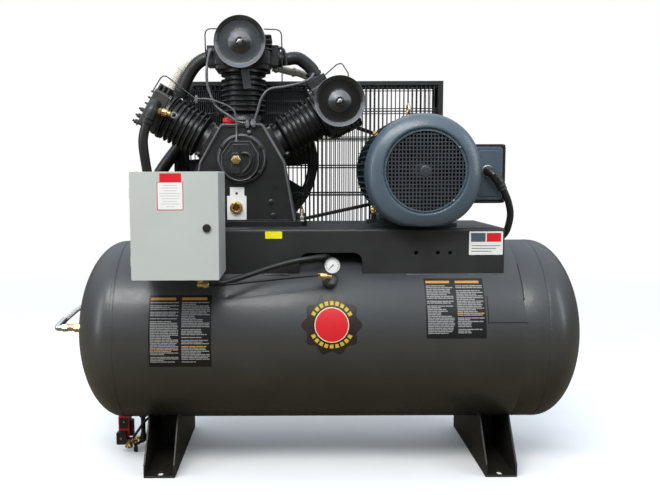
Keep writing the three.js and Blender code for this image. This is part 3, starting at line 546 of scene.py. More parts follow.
PLASTIC = finish("black_moulded_plastic", (0.011, 0.0115, 0.012), 0.34, grain=(1400, 0.00008), mottle=0.1)
GREY_TUBE = finish("grey_nylon_tube", (0.075, 0.082, 0.09), 0.3, coat=0.3, grain=(400, 0.00006))
DARK_TUBE = finish("black_nylon_tube", (0.020, 0.021, 0.022), 0.3, coat=0.3, grain=(400, 0.00006))
RED = finish("red_plastic", (0.60, 0.010, 0.020), 0.3, coat=0.25, grain=(800, 0.00006),
    mottle=0.1)
BEIGE = finish("beige_ducting", (0.56, 0.53, 0.44), 0.5, grain=(500, 0.0002), mottle=0.1)
# Near black: the real black of dial marks and needle, and painted shade inside holes and slots.
BLACK_PRINT_AND_PAINTED_SHADE = finish("black_print_and_painted_shade", (0.006, 0.006, 0.007), 0.6, grain=(500, 0.0002), mottle=0.2)
WHITE = ink("white_enamel_plate", (0.76, 0.76, 0.75), 0.4, 0.03, (400, 0.00004))
DIAL_WHITE = ink("white_dial", (0.90, 0.90, 0.89), 0.5, 0.02, (400, 0.00002), 0.2)
YELLOW = ink("yellow_vinyl", (0.86, 0.78, 0.01), 0.45, 0.04, (300, 0.00003))
RED_VINYL = ink("red_vinyl", (0.60, 0.012, 0.020), 0.42, 0.05, (300, 0.00003))
BLACK_VINYL = ink("black_vinyl", (0.006, 0.006, 0.006), 0.34, 0.06, (200, 0.00003), 0.35)
BROWN_VINYL = ink("brown_vinyl", (0.022, 0.013, 0.011), 0.36, 0.2, (200, 0.00003), 0.35)
AMBER = ink("amber_ink", (0.52, 0.25, 0.05))
GOLD_INK = ink("gold_ink", (0.56, 0.40, 0.03))
PALE_INK = ink("pale_ink", (0.26, 0.26, 0.26), 0.5, 0.10)
FAINT_INK = ink("faint_ink", (0.50, 0.46, 0.47), 0.5, 0.10)
CREAM = ink("cream_enamel", (0.72, 0.60, 0.38), 0.4, 0.06, (300, 0.00003))
BRAID = braid_finish("braided_wire", (0.24, 0.24, 0.24), (0.95, 0.94, 0.90), 8, 5.0)
LENS = glass_finish("clear_lens", (1.0, 1.0, 1.0), 0.03, 0.0, 0.10)
OIL = glass_finish("oil_in_glass", (0.16, 0.05, 0.01), 0.05, 0.5)


# ------------------------------------------------------------------ receiver tank
def tank_side(z):
    """How far in front of the tank's middle its shell lies at height z, on the shell's round part."""
    return -sqrt(TANK_R ** 2 - (z - TANK_Z) ** 2)


def tank_end_profile(steps=26):
    shoulder = TANK_HALF - HEAD
    out = [(0.0, TANK_HALF)]
    for i in range(1, steps + 1):
        angle = i / steps * pi / 2
        out.append((TANK_R * sin(angle), shoulder + HEAD * cos(angle)))
    return out


def weld_bead(x, height=2.4, half=7.0):
    return [(TANK_R, x + half), (TANK_R + height * 0.6, x + half * 0.55),
        (TANK_R + height, x + half * 0.15), (TANK_R + height, x - half * 0.15),
        (TANK_R + height * 0.6, x - half * 0.55), (TANK_R, x - half)]


def joggle(x, depth=1.0, half=1.8):
    return [(TANK_R, x + half), (TANK_R - depth, x + 0.4 * half), (TANK_R - depth, x - 0.4 * half),
        (TANK_R, x - half)]


def build_tank():
    right = tank_end_profile() + weld_bead(691, 0.5, 3.4) + joggle(684) + joggle(607, 0.5)
    left = [(r, -h) for r, h in reversed(tank_end_profile() + weld_bead(691, 0.5, 3.4) + joggle(684))]
    shell = Shape().add(lathe(right + left, 160), at(0, 0, TANK_Z) @ ALONG_X)
    shell.add(lathe([(0, 0), (25, 0), (25, 26), (23, 30), (17, 32), (0, 32)], 40),
        towards((-2, -228, 640), (0, -1, 0.35)))
    shell.add(lathe([(0, 0), (24, 0), (24, 6), (22, 9), (14, 9), (14, 5), (0, 5)], 40),
        towards((-845, 0, TANK_Z), LEFT))
    shell.add(rod(24, 0, 9, 32, 2), towards((DRAIN_X, 0, TANK_Z - TANK_R + 4), DOWN))
    make("tank", shell, BLACK, replaces="tank_shell")


def tank_patch(x0, x1, z0, z1, lift=0.5, rows=24, columns=2, thick=0.4):
    """A thin sheet that lies on the front of the shell."""
    low = asin((z0 - TANK_Z) / TANK_R)
    high = asin((z1 - TANK_Z) / TANK_R)
    points, faces = [], []
    for layer in (lift, lift - thick):
        radius = TANK_R + layer
        for i in range(rows + 1):
            angle = low + (high - low) * i / rows
            for j in range(columns + 1):
                x = x0 + (x1 - x0) * j / columns
                points.append((x, -radius * cos(angle), TANK_Z + radius * sin(angle)))
    wide = columns + 1
    half = (rows + 1) * wide
    for i in range(rows):
        for j in range(columns):
            a = i * wide + j
            faces.append([a, a + 1, a + wide + 1, a + wide])
            faces.append([half + a, half + a + wide, half + a + wide + 1, half + a + 1])
    border = [j for j in range(wide)] + [i * wide + columns for i in range(1, rows + 1)]
    border += [rows * wide + j for j in range(columns - 1, -1, -1)] + [i * wide
        for i in range(rows - 1, 0, -1)]
    for a, b in zip(border, border[1:] + border[:1]):
        faces.append([a, a + half, b + half, b])
    return points, faces


def notice(name, x0, x1, z0, z1, columns, seed):
    """A plain dark sheet with coloured heading bars and columns of unlettered ruled lines."""
    draw = random.Random(seed)
    shape = Shape().add(tank_patch(x0, x1, z0, z1, 0.5, 24, 4))
    wide = (x1 - x0) / columns
    for column in range(columns):
        left = x0 + wide * column + 5
        room = wide - 10
        shape.add(tank_patch(left, left + 0.9 * room, z1 - 14, z1 - 7, 0.7, 3), slot=1)
        z = z1 - 20
        while z > z0 + 16:
            heading = draw.random() < 0.07
            end = left + room * draw.choice((0.5, 0.9, 1.0, 1.0, 1.0, 0.75))
            start = left
            while start < end - 4:
                stop = min(end, start + draw.uniform(7, 26))
                shape.add(tank_patch(start, stop, z - 3.0, z, 0.7, 1, 1, 0.2), slot=1 if heading else 2)
                start = stop + 1.6
            z -= 5.1 if draw.random() < 0.88 else 9.0
    make(name, shape, [BLACK_VINYL, AMBER, PALE_INK])


def disc_patch(cx, cz, inner, outer, lift, start=0.0, sweep=2 * pi, lobes=0, depth=0.0):
    """A round or lobed sheet, a ring or an arc that lies on the front of the shell."""
    points, faces = [], []
    count, rings = 96, 5
    closed = sweep > 6.28
    steps = count if closed else count // 3
    for layer in (lift, lift - 0.4):
        for k in range(rings + 1):
            for i in range(steps):
                angle = start + sweep * i / (steps if closed else steps - 1)
                edge = outer + depth * cos(lobes * angle)
                radius = inner + (edge - inner) * k / rings
                z = cz + radius * sin(angle)
                points.append((cx + radius * cos(angle), tank_side(z) - layer, z))
    half = (rings + 1) * steps
    for i in range(steps if closed else steps - 1):
        j = (i + 1) % steps
        for k in range(rings):
            a, b = k * steps, (k + 1) * steps
            faces.append([a + i, a + j, b + j, b + i])
            faces.append([half + a + i, half + b + i, half + b + j, half + a + j])
        for base in (0, rings * steps):
            faces.append([base + i, half + base + i, half + base + j, base + j])
    return points, faces


def build_tank_marks():
    notice("notice_left", -570, -374, 382, 602, 2, 3)
    notice("notice_right", 297, 484, 470, 648, 2, 5)
    badge = Shape().add(disc_patch(2, 512, 0.5, 88, 0.6, lobes=10, depth=7))
    for start in (0.45, pi + 0.45):
        for k in range(9):
            badge.add(disc_patch(2, 512, 60, 72, 0.9, start + k * 0.256, 0.17), slot=1)
    badge.add(disc_patch(2, 512, 0.5, 54, 0.9), slot=2)
    badge.add(disc_patch(2, 512, 0.5, 51, 1.2), slot=3)
    make("round_badge", badge, [BROWN_VINYL, GOLD_INK, CREAM, RED_VINYL])
    lines = Shape()
    lines.add(tank_patch(490.5, 492.5, 518, 594, 0.9, 16, 1, 0.9))
    lines.add(tank_patch(490.5, 612, 517, 519, 0.9, 3, 24, 0.9))
    lines.add(tank_patch(607, 608.6, 588, 690, 0.9, 16, 1, 0.9))
    for x, z in ((491.5, 594), (491.5, 518), (612, 518), (608, 588)):
        lines.add(lathe([(2.6, 0), (2.4, 0.8), (1.3, 1.5), (0, 1.7)], 16),
            towards((x, tank_side(z) - 0.6, z), (0, tank_side(z), z - TANK_Z)), 0)
    make("tank_strap_wire", lines, BLACK_VINYL)


def build_foot(side, centre):
    reach, sheet, half_width = 142.0, 6.0, 51.0
    shell_z = TANK_Z - sqrt(TANK_R ** 2 - reach ** 2)
    flange = [(-250, 3), (250, 3), (250, 43), (reach + 2, shell_z + 3)]
    for i in range(13):
        y = reach - 2 * reach * i / 12
        flange.append((y, TANK_Z - sqrt((TANK_R - 1) ** 2 - y * y)))
    flange += [(-reach - 2, shell_z + 3), (-250, 43)]
    left, right = centre - half_width, centre + half_width
    shape = Shape()
    slots = []
    for y in (-225, 225):
        slots.append([(centre + a * 0.5, y + b) for a, b in rounded_rectangle(-17, 17, -15, 15, 8, 5)])
    base = [(left, -250), (right, -250), (right, 250), (left, 250)]
    shape.add(plate(base, 0, sheet, slots, plane="xy"))
    for x in (left, right - sheet):
        shape.add(plate(flange, x, x + sheet, plane="yz"))
    shape.add(box(left + 1, right - 1, 60, 66, 3, TANK_Z - sqrt((TANK_R - 2) ** 2 - 66 ** 2)))
    make("foot_" + side, shape, FOOT_BLACK, bevel=1.6, segments=3, replaces="tank_foot_" + side)
    beads = Shape()
    for x in (left - 1, right + 1):
        path = []
        for i in range(33):
            y = reach - 2 * reach * i / 32
            path.append((x, y, TANK_Z - sqrt((TANK_R + 1) ** 2 - y * y)))
        beads.add(tube(path, lumpy(len(path), 3.2, 0.6, centre), 8))
    make("foot_" + side + "_welds", beads, BLACK)


def lumpy(count, radius, spread, seed):
    draw = random.Random(int(seed * 7) + count)
    return [radius + draw.uniform(-spread, spread) for _ in range(count)]


# ------------------------------------------------------------------ deck
def arch_points(base):
    x, half, top, corner = 3.0, 101.0, 730.0, 30.0
    right = [(x + half, base), (x + half, top - corner)]
    for i in range(1, 7):
        angle = i / 6 * pi / 2
        right.append((x + half - corner + corner * cos(angle), top - corner + corner * sin(angle)))
    left = [(2 * x - a, z) for a, z in reversed(right)]
    return right + left


def build_deck():
    half_x, half_y, sheet, bend, low = 557.0, SKIRT_Y, 6.0, 9.0, 662.0
    shape = Shape()
    skirt = [(-half_x, low)] + list(reversed(arch_points(low))) + [(half_x, low), (half_x, DECK_Z - bend),
        (-half_x, DECK_Z - bend)]
    holes = [ring(6.5, 20, (x, 729)) for x in (275.5, 345, 384)]
    shape.add(plate(skirt, -half_y, -half_y + sheet, holes))
    shape.add(plate(skirt, half_y - sheet, half_y, ()))
    slot = rounded_rectangle(-42, 52, 72, 92, 9, 5)
    top = [(-half_x, -half_y + bend), (half_x, -half_y + bend), (half_x, half_y - bend),
        (-half_x, half_y - bend)]
    shape.add(plate(top, DECK_Z - sheet, DECK_Z, [slot], plane="xy"))
    for side in (-1, 1):
        arc = []
        for i in range(9):
            a = i / 8 * pi / 2
            arc.append((side * (half_y - bend + bend * sin(a)), DECK_Z - bend + bend * cos(a)))
        for i in range(8, -1, -1):
            a = i / 8 * pi / 2
            inner = bend - sheet
            arc.append((side * (half_y - bend + inner * sin(a)), DECK_Z - bend + inner * cos(a)))
        shape.add(plate(arc, -half_x, half_x, plane="yz"))
    make("deck", shape, DECK_BLACK, bevel=0.8, replaces="deck_plate")


def build_deck_trim():
    front = -SKIRT_Y
    beads = Shape()
    for x0, x1 in ((-540, -440), (-210, -130)):
        path = [(x0 + (x1 - x0) * i / 20, front - 1.5, 660.5) for i in range(21)]
        beads.add(tube(path, lumpy(21, 4.2, 0.9, x0), 8))
    make("deck_welds", beads, BLACK)
    tabs = Shape()
    for x0, x1 in ((244, 333), (441, 539)):
        tabs.add(box(x0, x1, front - 4, front + 8, 655, 661.5))
    make("deck_tabs", tabs, GREY_METAL_AND_EDGE_HIGHLIGHT, bevel=0.8)
    sticker = Shape().add(slab((-207, -153, 776, 799, 1.5, 2), front - 0.5, front + 0.2))
    make("deck_sticker_yellow", sticker, YELLOW)
    tag = Shape().add(slab((444, 552, 722, 797, 2, 2), front - 0.5, front + 0.2))
    tag.add(box(450, 496, front - 0.8, front - 0.3, 764, 792), slot=1)
    tag.add(box(500, 546, front - 0.8, front - 0.3, 764, 792), slot=2)
    for k in range(3):
        tag.add(box(452, 544 - 14 * k, front - 0.8, front - 0.3, 750 - k * 9, 753 - k * 9), slot=3)
    make("deck_sticker_white", tag, [WHITE, BLUE, RED_VINYL, PALE_INK])


# ------------------------------------------------------------------ pump: crankcase
def crankcase_outline(facet, shoulder, waist, waist_z, base):
    def half(z):
        return (facet - z * 0.5) / (sqrt(3) / 2)
    right = [(waist, base), (waist, waist_z), (half(shoulder), shoulder), (half(facet), facet)]
    return right + [(-x, z) for x, z in reversed(right)]


def build_crankcase():
    floor = CASE_FLOOR
    shape = Shape()
    body = crankcase_outline(120, -8, 178, floor + 18, floor + 2)
    for y0, y1 in ((-78, -66), (146, 158)):
        shape.add(plate(body, y0, y1), PUMP)
    for side in (-1, 1):
        wall = [(side * x, z) for x, z in ((143, -8), (178, floor + 18), (178, floor + 2), (168, floor + 2),
            (168, floor + 18), (132, -12))]
        shape.add(plate(wall, -67, 147), PUMP)
    outer = crankcase_outline(119, -9, 176.5, floor + 16, floor + 10)
    inner = crankcase_outline(110, -13, 166, floor + 24, floor + 22)
    shape.add(plate(outer, -82.5, -74, [inner]), PUMP)
    shape.add(plate(outer, 154, 160, [inner]), PUMP)
    for side in (-1, 1):
        web = [(side * 100, floor + 2), (side * 214, floor + 2), (side * 214, floor + 17),
            (side * 184, floor + 30), (side * 172, floor + 60), (side * 150, floor + 60)]
        shape.add(plate(web, -50, -38), PUMP)
        shape.add(plate(web, 118, 130), PUMP)
    shape.add(slab((-216, 216, -98, 178, 22, 5), floor, floor + 17, plane="xy"), PUMP)
    for x, z in ((96, -140), (103, -186)):
        shape.add(lathe([(10, -4), (9, 1), (6, 2.4), (0, 2.6)], 24), PUMP @ at(x, -80, z) @ FACING_FRONT)
    for name, (angle, y) in BANKS.items():
        pad = spin(angle)
        opening = [ring(44.5 if name == "left" else 52, 40)]
        facet = [(-69, -70 - y), (69, -70 - y), (69, 150 - y), (-69, 150 - y)]
        shape.add(plate(facet, 108, 119.5, opening, plane="xy"), PUMP @ at(0, y, 0) @ pad)
        shape.add(slab((-74, 74, -72, 72, 20, 5), 112, 120.2, opening, plane="xy"),
            PUMP @ at(0, y, 0) @ pad)
    make("crankcase_body", shape, CAST, bevel=3.0, segments=3, replaces="crankcase")


def build_crankcase_trim():
    floor = CASE_FLOOR
    # Tubes along the casting's raised edges in the lighter grey: a painted highlight along them.
    ridge = Shape()
    for outline, y, radius in ((crankcase_outline(117, -9, 174.5, floor + 16, floor + 22), -82.3, 3.0),
            (crankcase_outline(121, -7, 179, floor + 18, floor + 22), -60, 1.9)):
        path = [PUMP @ Vector((x, y, z)) for x, z in outline]
        ridge.add(tube(bends(path, 8, 3), radius, 8))
    make("crankcase_rim", ridge, GREY_METAL_AND_EDGE_HIGHLIGHT)
    studs = Shape()
    for x in (-200, 200):
        for y in (-78, 158):
            bolt(studs, (CRANK_X + x, y, DECK_Z + 17.3), UP, 22, 14, True, 26, 0, 1)
    make("crankcase_studs", studs, [STEEL, YELLOW_ZINC], bevel=0.4)


def cover_outline():
    """A round cover with a flat top, seen from the front."""
    dish = [(-5 + 61 * cos(a), -6 + 61 * sin(a)) for a in [radians(170 + 8 * i) for i in range(26)]]
    return dish + [(56, 20), (30, 61), (-34, 61), (-64, 20)]


def build_front_cover():
    place = PUMP @ at(0, -80, 0)
    shape = Shape()
    shape.add(lathe([(0, -2), (84, -2), (84, 7), (80.5, 10), (70, 11), (67, 9), (64, 9), (0, 9)], 72),
        place @ at(0, 0, 5) @ FACING_FRONT)
    dish = cover_outline()
    shape.add(plate(dish, -31, -8), place)
    middle = [(-5 + 0.80 * (x + 5), -6 + 0.80 * (z + 6)) for x, z in dish]
    shape.add(plate(middle, -39, -30), place)
    shape.add(slab((-29, 28, 22, 52, 4, 3), -43, -30), place)
    shape.add(slab((-32, -2, -46, 24, 9, 4), -45, -30), place)
    rib = [(2, -40, 20), (14, -43, 22), (27, -43, 16), (32, -42, 0), (27, -41, -18), (14, -39, -34),
        (2, -36, -44)]
    shape.add(tube(curve(rib, 5), 6.0, 12), place)
    make("front_cover", shape, SMOOTH_CAST, bevel=2.4, segments=3, replaces="bearing_cover_front")


def build_front_cover_trim():
    place = PUMP @ at(0, -80, 0)
    # Tubes round the cover's outline and ring in the lighter grey: a painted highlight along these edges.
    edge = Shape()
    outline = [(x, -31.4, z) for x, z in cover_outline()]
    edge.add(tube(outline + outline[:1], 1.3, 8), place)
    edge.add(tube([(76 * cos(a), -11, 5 + 76 * sin(a)) for a in [i / 60 * 2 * pi for i in range(61)]], 1.5,
        8), place)
    make("front_cover_rim", edge, GREY_METAL_AND_EDGE_HIGHLIGHT)
    screws = Shape()
    for angle in (30, 150, 222, 320):
        a = radians(angle)
        bolt(screws, place @ Vector((74 * cos(a), -11, 5 + 74 * sin(a))), FRONT, 11, 6)
    make("front_cover_screws", screws, SMOOTH_CAST, bevel=0.4)
    plug = Shape()
    plug.add(hexagon(27, 0, 9, 1.6), place @ at(-16, -45, 0) @ FACING_FRONT)
    plug.add(rod(9, 8, 10.5, 24, 1), place @ at(-16, -45, 0) @ FACING_FRONT)
    make("front_cover_plug", plug, BRASS, bevel=0.5)


def build_sight_glass():
    place = PUMP @ at(-20, -80.3, -158)
    shape = Shape()
    tag = [(-31, -43), (34, -43), (34, 39), (27, 39), (27, 68), (-21, 68), (-21, 39), (-31, 39)]
    hole = ring(4.5, 24, (1, 47))
    shape.add(plate(tag, -2, 0, [hole]), place, 0)
    # A dark disc in the tag's hole: painted shade.
    shape.add(rod(4.3, -0.5, 0.8, 24), place @ at(1, 0, 47) @ FACING_FRONT, 3)
    shape.add(lathe([(9.5, 2), (22, 2), (22, 6), (20.5, 9), (18.5, 9.5), (18.5, 15), (17, 16.5),
        (12.5, 16.5), (10.5, 14), (10, 8)], 48, closed=True), place @ FACING_FRONT, 1)
    shape.add(lathe([(0, 1), (10.6, 1), (10.6, 10), (7, 11.5), (0, 12)], 32), place @ FACING_FRONT, 2)
    make("sight_glass", shape, [WHITE, BRASS, OIL, BLACK_PRINT_AND_PAINTED_SHADE], bevel=0.4, replaces="oil_sight_glass")


def build_fill_cap():
    place = PUMP @ at(-44, -58, 120)
    profile = [(0, 0), (15, 0), (15, 4), (18, 4), (19, 6), (19, 18), (16, 21), (7, 21.5), (7, 24),
        (0, 24.5)]
    shape = Shape().add(lathe(profile, 40), place)
    for k in range(20):
        a = k / 20 * 2 * pi
        shape.add(rod(1.6, 5, 19, 8), place @ at(18.6 * cos(a), 18.6 * sin(a), 0))
    make("fill_cap", shape, RED, bevel=0.4, replaces="oil_fill_cap")


# ------------------------------------------------------------------ pump: cylinders and heads
def fin_profile(low, outer, root, thick=5.0):
    return [(root, low - 1.5), (root + 4, low), (outer - 1.6, low + 0.5), (outer, low + thick / 2),
        (outer - 1.6, low + thick - 0.5), (root + 4, low + thick), (root, low + thick + 1.5)]


def build_cylinder(name):
    place = bank(name)
    bore = 40.0 if name == "left" else 47.5
    shape = Shape()
    shape.add(slab((-66, 66, -66, 66, 18, 5), 120.5, 138, [ring(bore + 1, 40)], plane="xy"), place)
    profile = [(bore, 121), (62, 121), (62, 142), (58, 148), (58, 158), (62, 162)]
    for i in range(8):
        profile += fin_profile(166 + i * 17.5, 78.0, 65.0, 5.6)
    profile += [(60, 296), (80, 298), (80, 306), (bore, 306)]
    shape.add(lathe(profile, 72, closed=True), place)
    make("cylinder_barrel_" + name, shape, CAST, replaces="cylinder_" + name)
    nuts = Shape()
    for x in (-56, 56):
        for y in (-56, 56):
            bolt(nuts, place @ Vector((x, y, 138)), place.to_3x3() @ Vector(UP), 14, 9, True, 6)
    make("cylinder_nuts_" + name, nuts, SMOOTH_CAST, bevel=0.5)


def head_nuts(name, place, spots, base, width=17.0):
    nuts = Shape()
    out = place.to_3x3() @ Vector(UP)
    for x, y in spots:
        bolt(nuts, place @ Vector((x, y, base)), out, width, 13, True, 9)
    make("head_nuts_" + name, nuts, SMOOTH_CAST, bevel=0.6)


def build_low_head(name, sides):
    place = bank(name)
    base = HEAD_BASE
    shape = Shape()
    shape.add(slab((-92, 92, -73, 75, 14, 4), base, base + 14, plane="xy"), place)
    shape.add(slab((-96, 96, -73, 75, 12, 4), base + 15.5, base + 60, plane="xy"), place)
    shape.add(slab((-70, 70, -66, 66, 10, 4), base + 58, base + 113, plane="xy"), place)
    for i in range(4):
        z = base + 62 + i * 15
        shape.add(slab((-84, 99, -73, 72, 7, 3), z, z + 5.5, plane="xy"), place)
    for i in range(7):
        y = -58 + i * 19.5
        shape.add(box(-72, 72, y - 2.2, y + 2.2, base + 104, base + 112), place)
    for i in range(3):
        shape.add(box(-60 + i * 50, -40 + i * 50, -76, -72, base + 20, base + 56), place)
    for side in sides:
        x0, x1 = sorted((90 * side, 122 * side))
        shape.add(box(x0, x1, -36, 36, base + 16, base + 84), place)
        shape.add(rod(31, 0, 9, 32, 2), place @ at(118 * side, 0, base + 46) @ spin(side * pi / 2))
    shape.add(box(-32, 32, -75, -58, base + 30, base + 108), place)
    make("head_" + name, shape, CAST, bevel=1.8, segments=2, replaces="cylinder_head_" + name)
    head_nuts(name, place, [(x, y) for x in (-80, 80) for y in (-58, 0, 58)], base + 60)


def build_high_head():
    place = bank("left")
    base = HEAD_BASE
    shape = Shape()
    shape.add(slab((-74, 68, -68, 72, 12, 4), base, base + 12, plane="xy"), place)
    shape.add(slab((-70, 66, -68, 72, 10, 4), base + 13.5, base + 63, plane="xy"), place)
    shape.add(slab((-64, 60, base + 6, base + 60, 8, 3), -72, -66), place)
    for i in range(3):
        z = base + 20 + i * 16
        shape.add(slab((60, 88, -60, 6, 2, 2), z, z + 8, plane="xy"), place)
    shape.add(box(60, 84, 12, 66, base + 8, base + 56), place)
    for i in range(6):
        x = -64 + i * 22
        shape.add(box(x, x + 7, -60, 62, base + 60, base + 74), place)
    make("head_left", shape, HEAD_CAST, bevel=1.6, segments=2, replaces="cylinder_head_left")
    head_nuts("left", place, [(x, -54) for x in (-66, -44, -20)], base + 62, 13)


def filter_frame(name):
    offset = {"centre": (0, 0, -3), "right": (-6, 0, 0)}[name]
    return at(*offset) @ bank(name) @ at(0, 0, FILTER_Z) @ spin(-BANKS[name][0])


def build_filter(name, lid_finish):
    place = filter_frame(name)
    front = place @ FACING_FRONT
    can = Shape()
    can.add(lathe([(79, 92), (79, 144), (74, 144), (74, 97), (28, 94), (28, 75.5), (24, 75.5), (24, 92)],
        72, closed=True), front)
    for k in range(40):
        turn = spin(k / 40 * 2 * pi, "Z")
        can.add(box(78.2, 80.0, -1.6, 1.6, 97, 141), front @ turn)
    can.add(lathe([(24, 75.5), (34, 75.5), (34, 81), (28, 83), (24, 83)], 40, closed=True), front)
    make("filter_can_" + name, can, SMOOTH_CAST, replaces="filter_body_" + name)
    lid = [(30, 152), (68, 152), (70, 162.6), (67, 161.6), (41, 161.6), (38.5, 162.4), (36.5, 164)]
    dome = [(0, 158), (36.5, 162), (36.5, 164.5), (13, 176.5), (10, 177.5), (0, 178)]
    rim = [(68, 142), (77, 142), (80, 146), (83, 160), (84, 170), (84, 172.5), (83, 173.5), (82, 173),
        (70, 162.6), (68, 160)]
    # The rim and the dome take the lid-rim finish, with its painted reflection on faces that look up.
    cover = Shape().add(lathe(lid, 96, closed=True), front, 0).add(lathe(rim, 96, closed=True), front, 1)
    cover.add(lathe(dome, 96), front, 1)
    make("filter_lid_" + name, cover, [lid_finish, LID_RIM_PAINTED_REFLECTION], replaces="filter_cover_" + name)


def build_filter_nut(name):
    place = filter_frame(name)
    front = place @ FACING_FRONT
    nut = Shape()
    nut.add(lathe([(0, 177), (8, 177), (8, 179), (6, 181), (5.5, 186), (3.4, 187), (3.4, 189.5), (0, 190)],
        24), front, 0)
    for side in (-1, 1):
        wing = [(side * 3, 0), (side * 10, 1), (side * 13, 5), (side * 11, 8.5), (side * 7, 7),
            (side * 3, 4)]
        nut.add(plate(wing, -1.6, 1.6), front @ at(0, 0, 181) @ spin(0.5, "Z"), 0)
    nut.add(lathe([(8, 177.4), (14, 177.4), (14, 179.4), (8, 179.4)], 32, closed=True), front, 1)
    make("filter_wing_nut_" + name, nut, [STEEL, RUBBER], bevel=0.3)
    if name == "centre":
        strap = Shape().add(box(-13, 13, -96, -91, -142, -40), place @ spin(-0.14))
        make("filter_bracket", strap, GREY_TUBE, bevel=1.2)


# ------------------------------------------------------------------ belt drive
def grooved_land(radius, front=240.0, width=66.0):
    out = [(radius - 1.5, front), (radius, front + 1.5)]
    for y in BELTS_Y:
        out += [(radius, y - 9.5), (radius - 14, y - 7), (radius - 14, y + 7), (radius, y + 9.5)]
    return out + [(radius, front + width - 1.5), (radius - 1.5, front + width)]


def spoke_gaps():
    """The six openings between the flywheel's spokes."""
    holes = []
    for k in range(6):
        middle = -0.24 + k * pi / 3
        arc = []
        for r, spread in ((112, 0.13), (150, 0.15), (190, 0.18), (224, 0.2)):
            arc.append((r * cos(middle + spread), r * sin(middle + spread)))
        for j in range(1, 6):
            a = middle + 0.2 - 0.4 * j / 6
            arc.append((226 * cos(a), 226 * sin(a)))
        for r, spread in ((224, 0.2), (190, 0.18), (150, 0.15), (112, 0.13)):
            arc.append((r * cos(middle - spread), r * sin(middle - spread)))
        holes.append(arc)
    return holes


def build_flywheel():
    shape = Shape()
    rim = [(236, 240), *grooved_land(262.0), (236, 306), (234, 300), (233, 273), (234, 246)]
    shape.add(lathe(rim, 120, closed=True), PUMP @ ALONG_Y)
    shape.add(plate(ring(235, 96), 266, 279, spoke_gaps()), PUMP)
    for k in range(6):
        a = -0.24 + (k + 0.5) * pi / 3
        blade = box(60, 232, -3.5, 3.5, 248, 268)
        points = [(p[0], p[2], p[1] * (1.0 if p[0] < 100 else 1.6)) for p in blade[0]]
        shape.add((points, blade[1]), PUMP @ spin(-a))
    shape.add(lathe([(22.4, 234), (42, 234), (46, 238), (46, 262), (70, 267), (70, 278), (46, 284),
        (46, 302), (42, 306), (22.4, 306)], 64, closed=True), PUMP @ ALONG_Y)
    make("fan_flywheel", shape, CAST, body="crank", bevel=1.2, replaces="flywheel")
    lock = Shape()
    bolt(lock, (CRANK_X, 310.2, CRANK_Z), BACK, 24, 12)
    make("flywheel_bolt", lock, STEEL, body="crank", bevel=0.6)


def build_motor_pulley():
    place = MOTOR @ ALONG_Y
    profile = [(84, 240), *grooved_land(108.0), (84, 306), (82, 284), (34, 282), (34, 306), (21.6, 306),
        (21.6, 236), (34, 236), (34, 264), (82, 264), (84, 262)]
    shape = Shape().add(lathe(profile, 80, closed=True), place)
    make("motor_sheave", shape, CAST, body="motor_rotor", bevel=0.8, replaces="motor_pulley")


def belt_path(depth):
    big, small = 262.0 - depth, 108.0 - depth
    dx, dz = MOTOR_X - CRANK_X, MOTOR_Z - CRANK_Z
    along = atan2(dz, dx)
    lean = acos((big - small) / hypot(dx, dz))
    out = []
    for i in range(73):
        a = along + lean + (2 * pi - 2 * lean) * i / 72
        out.append((CRANK_X + big * cos(a), CRANK_Z + big * sin(a)))
    for i in range(37):
        a = along - lean + 2 * lean * i / 36
        out.append((MOTOR_X + small * cos(a), MOTOR_Z + small * sin(a)))
    return out


def build_belts():
    top, bottom = belt_path(0.5), belt_path(12)
    middle = belt_path(3)
    for name, y in zip(("front", "back"), BELTS_Y):
        points, faces = [], []
        section = [(top, -7.6), (top, 7.6), (middle, 8.2), (bottom, 5.6), (bottom, -5.6), (middle, -8.2)]
        for i in range(len(top)):
            points += [(path[i][0], y + dy, path[i][1]) for path, dy in section]
        count = len(section)
        for i in range(len(top)):
            a, b = i * count, ((i + 1) % len(top)) * count
            for k in range(count):
                j = (k + 1) % count
                faces.append([a + k, a + j, b + j, b + k])
        belt = Shape().add((points, faces))
        make("drive_belt_" + name, belt, RUBBER, replaces="v_belt_" + name)


